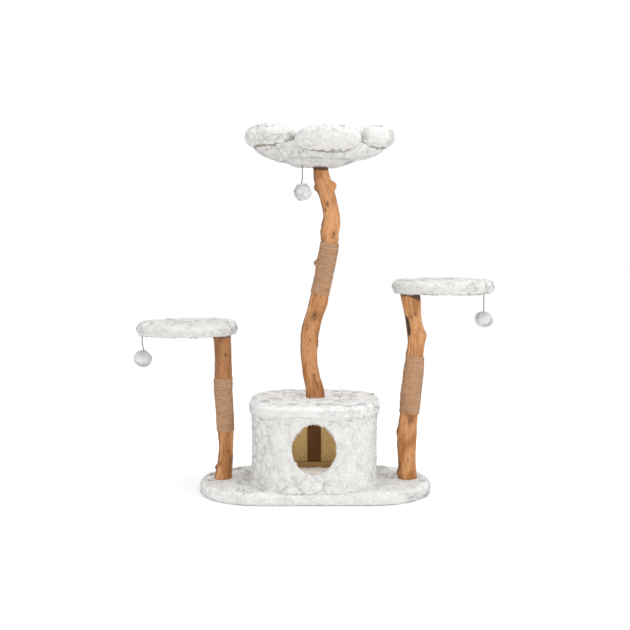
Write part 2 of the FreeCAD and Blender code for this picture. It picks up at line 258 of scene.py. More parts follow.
class GeometryTree(Graph):
    """A Geometry Nodes tree with named inputs."""

    def __init__(self, name: str, inputs: dict[str, float | int]) -> None:
        """Makes the tree.

        Args:
            name: the tree's name.
            inputs: each input's value by its name, besides the geometry and the material.
        """
        super().__init__(bpy.data.node_groups.new(name, "GeometryNodeTree"))
        face = self.tree.interface
        face.new_socket("Geometry", in_out="INPUT", socket_type="NodeSocketGeometry")
        for label, value in inputs.items():
            kind = "NodeSocketInt" if isinstance(value, int) else "NodeSocketFloat"
            face.new_socket(label, in_out="INPUT", socket_type=kind).default_value = value
        face.new_socket("Material", in_out="INPUT", socket_type="NodeSocketMaterial")
        face.new_socket("Geometry", in_out="OUTPUT", socket_type="NodeSocketGeometry")
        self.group = self.tree.nodes.new("NodeGroupInput")

    def given(self, label: str) -> Wire:
        """One of the tree's inputs."""
        return Wire(self, self.group.outputs[label])

    def stored(self, name: str, kind: str = "FLOAT") -> Wire:
        """A number or a vector stored on the geometry."""
        return self.node("GeometryNodeInputNamedAttribute", {0: name}, data_type=kind)

    def store(self, geometry: Wire, name: str, value: Wire, kind: str = "FLOAT") -> Wire:
        """Stores a number or a vector on every point of the geometry."""
        inputs = {"Geometry": geometry, "Name": name, "Value": value}
        return self.node("GeometryNodeStoreNamedAttribute", inputs, data_type=kind, domain="POINT")

    def moved(self, geometry: Wire, offset: Wire) -> Wire:
        """Moves every point of the geometry by an offset."""
        return self.node("GeometryNodeSetPosition", {0: geometry, "Offset": offset})

    def random(self, low: float, high: float, seed: Wire) -> Wire:
        """A random number for each point or instance."""
        return self.node("FunctionNodeRandomValue", {2: low, 3: high, "Seed": seed}, 1)

    def close(self, geometry: Wire, follow: float = 0.0) -> None:
        """Realizes the instances, sets the material and ends the tree.

        Args:
            geometry: the finished geometry.
            follow: how far the shading follows the stored direction "lie" in place of each face's own.
        """
        shown = self.node("GeometryNodeRealizeInstances", {0: geometry})
        shown = self.node("GeometryNodeSetShadeSmooth", {0: shown})
        if follow:
            own = self.node("GeometryNodeInputNormal").times(1.0 - follow)
            facing = own.plus(self.stored("lie", "FLOAT_VECTOR").times(follow)).unit()
            shown = self.node("GeometryNodeSetMeshNormal", {0: shown, "Custom Normal": facing},
                              mode="FREE", domain="POINT")
        dressed = self.node("GeometryNodeSetMaterial", {0: shown, "Material": self.given("Material")})
        out = self.tree.nodes.new("NodeGroupOutput")
        self.feed(out.inputs[0], dressed)

    def bake(self, source: bpy.types.Object, name: str, **values: object) -> bpy.types.Object:
        """Runs the tree on an object and keeps the result as a plain mesh.

        Args:
            source: the object to run on; it is removed.
            name: the finished piece's name.
            values: the tree's inputs, by name with spaces as underscores.

        Returns:
            The finished piece.
        """
        modifier = source.modifiers.new("nodes", "NODES")
        modifier.node_group = self.tree
        sockets = {s.name: s.identifier for s in self.tree.interface.items_tree if s.in_out == "INPUT"}
        for key, value in values.items():
            modifier[sockets[key.replace("_", " ")]] = value
        return baked(source, name)


def baked(source: bpy.types.Object, name: str) -> bpy.types.Object:
    """Turns an object and its modifiers into a plain mesh object, and removes the source."""
    bpy.context.view_layer.update()
    evaluated = source.evaluated_get(bpy.context.evaluated_depsgraph_get())
    mesh = bpy.data.meshes.new_from_object(evaluated)
    bpy.data.objects.remove(source)
    return added(name, mesh)


def added(name: str, data: bpy.types.ID) -> bpy.types.Object:
    """Puts a mesh, a curve, a lamp or a camera into the scene."""
    made = bpy.data.objects.new(name, data)
    data.name = name
    bpy.context.scene.collection.objects.link(made)
    return made


# ---------------------------------------------------------------- finishes

@dataclass(frozen=True)
class Finish:
    """A finish, whose material is made once, when it is first asked for."""

    name: str

    def material(self) -> bpy.types.Material:
        """The finish's material."""
        return bpy.data.materials.get(self.name) or self.made()

    def made(self) -> bpy.types.Material:
        """Makes the material."""
        raise NotImplementedError


@dataclass(frozen=True)
class PlushFinish(Finish):
    """White plush, greyer at the roots of the pile; painted shade greys its partings and creases and turns
    its deepest folds tan, and painted light whitens the places marked for it.
    """

    name: str = "white_plush"
    tip: Triple = (0.87, 0.866, 0.85)
    root: Triple = (0.80, 0.792, 0.77)
    painted_shade: Triple = (0.50, 0.485, 0.455)
    deep_shade: Triple = (0.33, 0.285, 0.215)
    # colour of the painted light
    painted_light: Triple = (0.97, 0.965, 0.95)

    def made(self) -> bpy.types.Material:
        """Makes the material."""
        shader = Shader(self.name, Sheen_Weight=0.25, Sheen_Roughness=0.5, Specular_IOR_Level=0.15)
        cloudy = shader.noise(shader.place, 0.09)
        fibre = shader.noise(shader.stretched(shader.place, (1.0, 1.0, 0.35)), 0.0016, 2.0)
        lit = shader.attribute("tip") * 0.75 + shader.attribute("lock") * 0.45 + cloudy * 0.2
        pile = shader.mix(lit.step(0.0, 0.75), self.root, self.tip)
        # painted shade: grey in the partings and creases, tan in the deepest ones
        painted_shade = shader.attribute("painted_shade")
        shaded_pile = shader.mix(painted_shade, pile, self.painted_shade)
        deeply_shaded = shader.mix(painted_shade.step(0.72, 1.0), shaded_pile, self.deep_shade)
        # painted light: mixed towards near-white by the marked amount
        colour = shader.mix(shader.attribute("painted_light"), deeply_shaded, self.painted_light)
        return shader.finish(colour, 0.75 + 0.2 * fibre, fibre, 0.0006)


@dataclass(frozen=True)
class PeeledWoodFinish(Finish):
    """A branch with its bark off: tan, with streaks, dark knots and cracks, and a deeper orange low down;
    painted shade darkens its sides, and its dark top band is partly painted shadow.
    """

    name: str = "peeled_branch"
    pale: Triple = (0.67, 0.330, 0.140)
    warm: Triple = (0.37, 0.143, 0.038)
    streak: Triple = (0.20, 0.072, 0.018)
    dark: Triple = (0.030, 0.012, 0.005)

    def made(self) -> bpy.types.Material:
        """Makes the material."""
        shader = Shader(self.name, Specular_IOR_Level=0.35)
        along = shader.stretched(shader.place, (1.0, 1.0, 0.09))
        broad = shader.noise(shader.stretched(shader.place, (1.0, 1.0, 0.4)), 0.035, 4.0)
        grain = shader.noise(along, 0.0035, 5.0)
        fine = shader.noise(along, 0.0011, 3.0)
        fleck = shader.noise(shader.place, 0.0055, 4.0)
        high = shader.axis(shader.place, "Z").step(0.1, 1.1)
        base = shader.mix((broad + high * 0.12 - 0.03).step(0.34, 0.66), self.warm, self.pale)
        streaked = shader.mix(grain.step(0.52, 0.74) * 0.6, base, self.streak)
        pores = shader.mix(fine.step(0.58, 0.75) * 0.4, streaked, self.streak)
        flecked = shader.mix(fleck.step(0.53, 0.70) * 0.45, pores, self.warm)
        # painted side shade, in the streak colour
        side_shaded = shader.mix(shader.attribute("edge") * (0.55 + 0.5 * broad), flecked, self.streak)
        # the dark marks; the top band among them is partly painted shadow
        stained_and_shadowed = shader.mix(shader.attribute("stain"), side_shaded, self.dark)
        height = grain * 0.55 + fine * 0.3 + broad * 0.6
        return shader.finish(stained_and_shadowed, 0.46 + 0.25 * grain, height, 0.0016)


@dataclass(frozen=True)
class RopeFinish(Finish):
    """Thin twisted rope: grey tan strands with loose fibres."""

    name: str = "wound_rope"
    light: Triple = (0.63, 0.39, 0.24)
    shade: Triple = (0.27, 0.145, 0.075)
    strand: float = 0.0034

    def made(self) -> bpy.types.Material:
        """Makes the material."""
        shader = Shader(self.name, Specular_IOR_Level=0.1)
        ridge = (shader.attribute("along") * (TURN / self.strand)).sine() * 0.5 + 0.5
        fibre = shader.noise(shader.place, 0.0009, 3.0)
        patch = shader.noise(shader.stretched(shader.place, (0.6, 0.6, 1.0)), 0.0055, 4.0)
        # tone carries random tone and painted side shade
        shade = (ridge * 0.2 + fibre * 0.35 + patch * 0.75 + shader.attribute("tone") * 0.3).step(0.3, 1.1)
        colour = shader.mix(shade, self.shade, self.light)
        return shader.finish(colour, 0.85 + 0.1 * fibre, ridge * 0.6 + fibre * 0.5, 0.0006)


@dataclass(frozen=True)
class BoardFinish(Finish):
    """A bare wooden board, with flecks and a grain that is stretched along one axis."""

    light: Triple
    dark: Triple
    grain: float = 0.004
    stretch: Triple = (1.0, 1.0, 0.12)

    def made(self) -> bpy.types.Material:
        """Makes the material."""
        shader = Shader(self.name, Specular_IOR_Level=0.2)
        grain = shader.noise(shader.stretched(shader.place, self.stretch), self.grain, 5.0)
        broad = shader.noise(shader.place, 0.06, 2.0)
        fleck = shader.noise(shader.place, 0.0015, 2.0)
        tone = (grain * 0.6 + broad * 0.35 + fleck * 0.25).step(0.35, 0.85)
        colour = shader.mix(tone, self.dark, self.light)
        return shader.finish(colour, 0.62 + 0.25 * fleck, grain * 0.6 + fleck * 0.4, 0.0004)


@dataclass(frozen=True)
class SteelFinish(Finish):
    """Zinc-plated steel with a light brushing."""

    name: str = "zinc_steel"
    dull: Triple = (0.50, 0.51, 0.53)
    bright: Triple = (0.68, 0.68, 0.67)

    def made(self) -> bpy.types.Material:
        """Makes the material."""
        shader = Shader(self.name, Metallic=1.0)
        brushed = shader.noise(shader.stretched(shader.place, (1.0, 1.0, 0.1)), 0.0006, 2.0)
        spangle = shader.noise(shader.place, 0.004, 2.0)
        colour = shader.mix(spangle.step(0.3, 0.7), self.dull, self.bright)
        return shader.finish(colour, 0.25 + 0.2 * brushed, brushed, 0.00005)


@dataclass(frozen=True)
class ClothFinish(Finish):
    """A matted or braided cloth, such as felt, foam or a braided cord."""

    light: Triple
    dark: Triple
    grain: float = 0.0012
    depth: float = 0.0004

    def made(self) -> bpy.types.Material:
        """Makes the material."""
        shader = Shader(self.name, Specular_IOR_Level=0.15)
        fibre = shader.noise(shader.place, self.grain, 4.0)
        cloud = shader.noise(shader.place, self.grain * 20, 2.0)
        colour = shader.mix((fibre * 0.7 + cloud * 0.3).step(0.3, 0.7), self.dark, self.light)
        return shader.finish(colour, 0.8 + 0.15 * fibre, fibre, self.depth)


PLUSH = PlushFinish()
YARN = PlushFinish("white_yarn", (0.97, 0.966, 0.955), (0.95, 0.946, 0.935), (0.7, 0.69, 0.67))
WOOD = PeeledWoodFinish()
ROPE = RopeFinish()
STEEL = SteelFinish()
KRAFT = BoardFinish("bent_hardboard", (0.46, 0.315, 0.135), (0.33, 0.225, 0.095), 0.012, (1.0, 1.0, 0.5))
RING = BoardFinish("ring_board", (0.33, 0.22, 0.085), (0.19, 0.12, 0.04))
# the batten's very dark colour is partly painted shade
BATTEN = BoardFinish("dark_batten", (0.098, 0.040, 0.006), (0.045, 0.017, 0.002), 0.003, (1.0, 1.0, 0.04))
CHIPBOARD = BoardFinish("chipboard", (0.56, 0.42, 0.27), (0.30, 0.21, 0.12), 0.0035, (1.0, 1.0, 1.0))
FELT = ClothFinish("needle_felt", (0.62, 0.62, 0.60), (0.42, 0.42, 0.41))
FOAM = ClothFinish("open_foam", (0.83, 0.80, 0.68), (0.62, 0.59, 0.47), 0.0022)
ELASTIC = ClothFinish("braided_elastic", (0.040, 0.042, 0.043), (0.010, 0.010, 0.011), 0.0007, 0.0002)


# ---------------------------------------------------------------- shapes

@dataclass(frozen=True)
class Outline:
    """A rounded rectangle, stadium or circle, seen from above."""

    half_width: float
    half_depth: float
    radius: float
    x: float = 0.0

    def ring(self, count: int, inset: float = 0.0) -> np.ndarray:
        """Points evenly round the outline, moved inwards.

        Args:
            count: how many points.
            inset: how far in; past the corner radius the ring shrinks towards the middle.

        Returns:
            The points, as an array of x and y.
        """
        flat_x, flat_y = self.half_width - self.radius, self.half_depth - self.radius
        quarter = math.pi / 2 * self.radius
        lengths = [flat_y, quarter, 2 * flat_x, quarter, 2 * flat_y, quarter, 2 * flat_x, quarter, flat_y]
        starts = np.concatenate([[0.0], np.cumsum(lengths)])
        kept = min(inset, 0.96 * self.radius)
        shrink = 1.0 - (inset - kept) / max(min(self.half_width, self.half_depth) - kept, 1e-9)
        arm = self.radius - kept
        points = np.zeros((count, 2))
        for i, s in enumerate(np.arange(count) / count * starts[-1]):
            k = min(int(np.searchsorted(starts, s, side="right")) - 1, 8)
            run = s - starts[k]
            if k % 2:
                sign_x = 1 if k in (1, 7) else -1
                sign_y = 1 if k in (1, 3) else -1
                angle = (k // 2) * math.pi / 2 + run / self.radius
                points[i] = (sign_x * flat_x + arm * math.cos(angle), sign_y * flat_y + arm * math.sin(angle))
            else:
                corner = {0: (flat_x + arm, run), 2: (flat_x - run, flat_y + arm),
                          4: (-flat_x - arm, flat_y - run), 6: (-flat_x + run, -flat_y - arm),
                          8: (flat_x + arm, run - flat_y)}
                points[i] = corner[k]
        return points * shrink + (self.x, 0.0)


@dataclass
class Skin:
    """A mesh under construction, with a number at each point for how thick its pile is."""

    points: np.ndarray
    faces: list[tuple[int, ...]]
    pile: np.ndarray

    @classmethod
    def lofted(cls, rings: Sequence[np.ndarray], pile: Sequence[float]) -> "Skin":
        """A closed surface through rings of points; the first and last rings close to a point.

        Args:
            rings: arrays of x, y and z, all of one length, so that the surface faces outwards.
            pile: how thick the pile is on each ring, from 0 to 1.

        Returns:
            The skin.
        """
        count = len(rings[0])
        points = np.concatenate([*rings, rings[0].mean(0, keepdims=True), rings[-1].mean(0, keepdims=True)])
        faces = []
        for r in range(len(rings) - 1):
            for i in range(count):
                j = (i + 1) % count
                faces.append((r * count + i, r * count + j, (r + 1) * count + j, (r + 1) * count + i))
        first, last, base = len(points) - 2, len(points) - 1, (len(rings) - 1) * count
        for i in range(count):
            j = (i + 1) % count
            faces.append((first, j, i))
            faces.append((last, base + i, base + j))
        weights = np.concatenate([np.repeat(pile, count), [pile[0], pile[-1]]])
        return cls(points, faces, weights)

    def thickened(self, inner: np.ndarray) -> "Skin":
        """A closed wall between this open skin and the same skin moved to the inner points."""
        used = sorted({v for face in self.faces for v in face})
        place = {old: new for new, old in enumerate(used)}
        outer_faces = [tuple(place[v] for v in face) for face in self.faces]
        inner_faces = [tuple(place[v] + len(used) for v in reversed(face)) for face in self.faces]
        edges: dict[tuple[int, int], int] = {}
        for face in outer_faces:
            for a, b in zip(face, face[1:] + face[:1]):
                edges[(a, b)] = edges.get((a, b), 0) + 1
        rim = [(b, a, a + len(used), b + len(used)) for a, b in edges if (b, a) not in edges]
        points = np.concatenate([self.points[used], inner[used]])
        pile = np.concatenate([self.pile[used], np.zeros(len(used))])
        return Skin(points, outer_faces + inner_faces + rim, pile)

    def object(self, name: str) -> bpy.types.Object:
        """The skin as an object, with its pile stored on its points."""
        mesh = bpy.data.meshes.new(name)
        mesh.from_pydata(self.points.tolist(), [], self.faces)
        mesh.shade_smooth()
        return marked(added(name, mesh), "pile", self.pile)


def coordinates(body: bpy.types.Object) -> np.ndarray:
    """The points of an object's mesh."""
    points = np.zeros(len(body.data.vertices) * 3)
    body.data.vertices.foreach_get("co", points)
    return points.reshape(-1, 3)


def marked(body: bpy.types.Object, name: str, values: Sequence[float] | np.ndarray) -> bpy.types.Object:
    """Stores a number on each point of an object's mesh, and returns the object."""
    stored = body.data.attributes.new(name, "FLOAT", "POINT")
    stored.data.foreach_set("value", np.asarray(values, np.float32))
    return body


def arc(steps: Iterable[int], count: int, size: float) -> list[tuple[float, float]]:
    """Steps along a rounded edge, as how far each one is in and up from where the edge starts.

    Args:
        steps: the steps, where 0 is the start and count is a quarter turn further.
        count: the steps in a quarter turn.
        size: the edge's radius.

    Returns:
        The pairs.
    """
    angles = [k / count * math.pi / 2 for k in steps]
    return [(size * (1 - math.cos(a)), size * math.sin(a)) for a in angles]


def ring_at(points: np.ndarray, height: float) -> np.ndarray:
    """A flat ring of x and y lifted to a height."""
    return np.column_stack([points, np.full(len(points), height)])


def wave(points: np.ndarray, size: float, seed: float = 0.0) -> np.ndarray:
    """Smooth noise between about -1 and 1 at each point, with features of that size."""
    return np.array([noise.noise(Vector(p) / size + Vector((seed, 0, 0))) for p in points])


def inflated(source: bpy.types.Object, voxel: float, pressure: float, cap: float,
             held_below: float) -> bpy.types.Object:
    """Blows a soft piece up with a cloth simulation.

    Args:
        source: the closed starting shape; it is removed.
        voxel: the size of the faces that it is remeshed to.
        pressure: the air pressure inside.
        cap: how far a point may move.
        held_below: points lower than this stay where they are.

    Returns:
        The inflated piece, subdivided once.
    """
    remesh = source.modifiers.new("remesh", "REMESH")
    remesh.mode = "VOXEL"
    remesh.voxel_size = voxel
    remesh.use_smooth_shade = True
    body = baked(source, source.name)
    start = coordinates(body)
    held = body.vertex_groups.new(name="held")
    held.add([int(i) for i in np.nonzero(start[:, 2] < held_below)[0]], 1.0, "REPLACE")
    cloth = body.modifiers.new("cloth", "CLOTH")
    cloth.settings.quality = 6
    cloth.settings.mass = 0.25
    cloth.settings.tension_stiffness = 12
    cloth.settings.compression_stiffness = 6
    cloth.settings.bending_stiffness = 0.25
    cloth.settings.use_pressure = True
    cloth.settings.uniform_pressure_force = pressure
    cloth.settings.vertex_group_mass = "held"
    cloth.settings.effector_weights.gravity = 0
    scene = bpy.context.scene
    for number in range(1, CLOTH_FRAMES + 1):
        scene.frame_set(number)
    body = baked(body, body.name)
    scene.frame_set(1)
    moved = coordinates(body) - start
    far = np.linalg.norm(moved, axis=1, keepdims=True)
    kept = start + moved * np.minimum(1.0, cap / np.maximum(far, 1e-9))
    body.data.vertices.foreach_set("co", kept.ravel())
    finer = body.modifiers.new("finer", "SUBSURF")
    finer.levels = finer.render_levels = 1
    return baked(body, body.name)


# ---------------------------------------------------------------- plush

class PlushTree(GeometryTree):
    """Lifts a skin into soft plates with partings between them, stores how much painted shade its partings
    and creases get, and grows a pile of leaning locks on it.
    """

    def __init__(self) -> None:
        """Builds the tree."""
        super().__init__("plush_pile", {
            "Plate Size": 0.040, "Parting": 0.11, "Plate Height": 0.0030, "Patches": 0.0, "Leftward": 0.0,
            "Wave Size": 0.13, "Wave Height": 0.005, "Density": 45000.0, "Length": 0.010, "Width": 0.0042,
            "Lean": 0.78, "Downward": 0.5, "Floor": 0.0006, "Seed": 1})
        self.seed = self.given("Seed")
        place = self.node("GeometryNodeInputPosition")
        self.shifted = place.plus(self.combined(self.seed * 0.37, self.seed * 0.11))
        self.warped = self.shifted.plus(self.drift(self.shifted, 0.05, 2.0, 0.035))
        self.edge = self.plates(0, feature="DISTANCE_TO_EDGE")
        aside = (self.axis(place, "X") + 1.6 * self.axis(place, "Y")) * self.given("Leftward")
        # patches where the pile mats into plates; their partings get painted shade
        wear_and_shade = self.noise(self.shifted, 0.12, 2.0) + self.given("Patches") - aside
        self.patchy = wear_and_shade.step(0.50, 0.68)
        skin = self.lifted()
        joined = self.node("GeometryNodeJoinGeometry", {0: skin})
        self.feed(joined.socket.node.inputs[0], self.locks(skin))
        self.close(self.kept_up(joined), 0.6)

    def plates(self, output: int | str, **settings: str) -> Wire:
        """The pattern of the plates."""
        scale = 1.0 / self.given("Plate Size")
        return self.node("ShaderNodeTexVoronoi", {"Vector": self.warped, "Scale": scale}, output, **settings)

    def lifted(self) -> Wire:
        """The skin with its plates, waves and partings, and the painted shade of its partings and creases
        stored on it.
        """
        pile, patchy = self.stored("pile"), self.patchy
        groove = (1.0 - self.edge.step(0.0, self.given("Parting"))) * patchy * 0.74
        dome = self.edge.step(0.0, 0.42) * patchy
        broad = self.noise(self.shifted, self.given("Wave Size"), 2.5) - 0.5
        plate = self.given("Plate Height") * (dome - 0.55 * patchy)
        normal = self.node("GeometryNodeInputNormal")
        lift = (plate + 2.0 * self.given("Wave Height") * broad) * pile
        raised = self.moved(self.given("Geometry"), normal.times(lift))
        # painted shade: the partings along the plate edges, or the shade marked on the skin where that is
        # darker
        shade_amount = (groove * pile).larger(self.stored("marked_shade"))
        return self.store(self.store(raised, "painted_shade", shade_amount), "lie", normal, "FLOAT_VECTOR")

    def locks(self, skin: Wire) -> Wire:
        """The locks of pile on the skin, leaning out of each plate, in swirls and downwards."""
        density = self.given("Density") * self.stored("pile")
        points = self.node("GeometryNodeDistributePointsOnFaces",
                           {0: skin, "Density": density, "Seed": self.seed})
        outward = points.other("Normal")
        shown = self.store(points, "lock", self.random(0.0, 1.0, self.seed + 5))
        shown = self.store(shown, "lie", outward, "FLOAT_VECTOR")
        from_middle = self.warped.minus(self.plates("Position")).unit().times(self.patchy * 0.8)
        swirl = self.drift(self.shifted, 0.045, 1.0, 3.2)
        brushed = from_middle.plus(swirl).plus(self.combined(z=-1.0 * self.given("Downward")))
        through = brushed.vector("DOT_PRODUCT", outward, 1)
        lying = brushed.minus(outward.times(through)).unit()
        spread = {0: (-0.24,) * 3, 1: (0.24,) * 3, "Seed": self.seed + 9}
        ruffle = self.node("FunctionNodeRandomValue", spread, data_type="FLOAT_VECTOR")
        lean = self.given("Lean")
        way = lying.times(lean).plus(outward.times(1.0 - lean)).plus(ruffle)
        turned = self.node("FunctionNodeAlignRotationToVector", {"Vector": way}, axis="Z")
        grown = self.random(0.65, 1.3, self.seed + 2)
        short = grown * (1.0 - self.edge.step(0.24, 0.04) * self.patchy * 0.55)
        return self.node("GeometryNodeInstanceOnPoints", {
            0: shown, "Instance": self.lock_shape(), "Rotation": turned,
            "Scale": self.combined(grown, grown, short)})

    def lock_shape(self) -> Wire:
        """One lock of pile: a thin three-sided taper that bends over."""
        length = self.given("Length")
        cone = self.node("GeometryNodeMeshCone", {
            "Vertices": 3, "Side Segments": 2, "Radius Top": 0.0, "Radius Bottom": self.given("Width") * 0.55,
            "Depth": length})
        up = self.axis(self.node("GeometryNodeInputPosition"), "Z") / length
        bend = self.combined(up * up * length * 0.35, z=-0.22 * length)
        return self.moved(self.store(cone, "tip", up), bend)

    def kept_up(self, geometry: Wire) -> Wire:
        """Realizes the locks and presses what would reach below the floor flat onto it."""
        height = self.axis(self.node("GeometryNodeInputPosition"), "Z")
        spot = self.combined(height.other("X"), height.other("Y"), height.larger(self.given("Floor")))
        whole = self.node("GeometryNodeRealizeInstances", {0: geometry})
        return self.node("GeometryNodeSetPosition", {0: whole, "Position": spot})


class WoundRopeTree(GeometryTree):
    """Gives a rope's line its round body, and stores how far along the rope each point is."""

    def __init__(self) -> None:
        """Builds the tree."""
        super().__init__("wound_rope", {"Rope Radius": 0.002, "Sides": 7})
        line = self.node("GeometryNodeMeshToCurve", {0: self.given("Geometry")})
        measured = self.store(line, "along", self.node("GeometryNodeSplineParameter", output="Length"))
        profile = self.node("GeometryNodeCurvePrimitiveCircle", {
            "Resolution": self.given("Sides"), "Radius": self.given("Rope Radius")})
        self.close(self.node("GeometryNodeCurveToMesh", {0: measured, 1: profile, "Fill Caps": True}))


@dataclass
class PlushMaker:
    """Turns skins and inflated bodies into finished plush pieces, with one shared tree."""

    tree: PlushTree = field(default_factory=PlushTree)
    seed: int = 0

    def cover(self, body: bpy.types.Object, name: str, nodes: Iterable[str], flow: Flow = Flow.SWIRL,
              padded: float | None = None, rides: str = STAND, **sizes: float) -> bpy.types.Object:
        """Grows the pile and puts the piece on its body of the frame.

        Args:
            body: the bare skin; it is used up.
            name: the finished piece's name.
            nodes: the frame's nodes that it stands for.
            flow: which way the pile is brushed.
            padded: how full the piece is, if it is a padded one; not used.
            rides: the body that it rides on; all but the stand's are balls of yarn.
            sizes: the tree's inputs that differ from its own values.

        Returns:
            The finished piece.
        """
        self.seed += 1
        finish, slot = (PLUSH, "faux_fur") if rides == STAND else (YARN, "pompom_yarn")
        made = self.tree.bake(body, name, Seed=self.seed, Downward=flow.value, Material=finish.material(),
                              **sizes)
        settle(made, rides, nodes)
        return made


def settle(piece: bpy.types.Object, body: str, nodes: Iterable[str]) -> None:
    """Puts a finished piece on its body, in the place of the nodes that it stands for."""
    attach(piece, body)
    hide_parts(*nodes)
    faces = len(piece.data.loop_triangles) if piece.type == "MESH" else 0
    log.info("%s: rides on %s, %d triangles", piece.name, body, faces)


def dress(finish: Finish, *nodes: str) -> None:
    """Gives a finish to nodes of the frame that stay in sight."""
    for name in nodes:
        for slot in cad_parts[name].material_slots:
            slot.material = finish.material()
        log.info("%s: dressed in %s", name, finish.name)


# ---------------------------------------------------------------- sub-assemblies

@dataclass
class Base:
    """The stadium-shaped base: felt, board and foam under a plush cover."""

    thickness: float = 0.009
    edge: float = 0.014
    skirt: float = 0.012
    seam: float = 0.001
    underlap: float = 0.02
    around: int = 336
    across: int = 24
    # painted light on the whole base cover
    painted_light: float = 0.3

    def build(self, plush: PlushMaker, den: "Den") -> None:
        """Makes the plush cover and dresses the boards under it."""
        half_width, half_depth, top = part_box("base_cover")[1]
        outer = Outline(half_width, half_depth, half_depth)
        side = top - self.edge
        profile = [(0.016, 0.0016, 0), (0.003, 0.0012, 0.7), (0.0006, 0.0026, 1)]
        profile += [(self.seam, self.skirt + (side - self.skirt) * k / 3, 1) for k in range(4)]
        profile += [(inset + self.seam, side + up, 1) for inset, up in arc(range(1, 5), 5, self.edge)]
        rings = [ring_at(outer.ring(self.around, inset), height) for inset, height, _ in profile]
        shoulder = outer.ring(self.around, self.edge + self.seam)
        foot = den.outline(0.004).ring(self.around)
        for k in range(self.across):
            f = k / (self.across - 1)
            rings.append(ring_at(shoulder * (1 - f) + foot * f, top))
        under = outer.ring(self.around, self.underlap)
        rings.append(ring_at(foot, top - self.thickness))
        rings.append(ring_at(under, top - self.thickness))
        rings.append(ring_at(under, 0.004))
        pile = [weight for _, _, weight in profile] + [1] * self.across + [0] * 3
        skin = self.tube(rings, pile)
        # the base cover gets painted light
        body = marked(skin.object("base_skin"), "painted_light", np.full(len(skin.points), self.painted_light))
        plush.cover(body, "base_plush", ("base_cover",), padded=0.9,
                    Wave_Height=0.0035, Density=43000.0, Patches=-0.06, Leftward=0.15)
        dress(FELT, "base_felt")
        dress(CHIPBOARD, "base_board")
        dress(FOAM, "base_foam")

    @staticmethod
    def tube(rings: Sequence[np.ndarray], pile: Sequence[float]) -> Skin:
        """A skin whose last ring joins its first, round a hole."""
        count = len(rings[0])
        faces = []
        for r in range(len(rings)):
            after = (r + 1) % len(rings)
            for i in range(count):
                j = (i + 1) % count
                faces.append((r * count + i, r * count + j, after * count + j, after * count + i))
        return Skin(np.concatenate(rings), faces, np.repeat(np.array(pile, float), count))


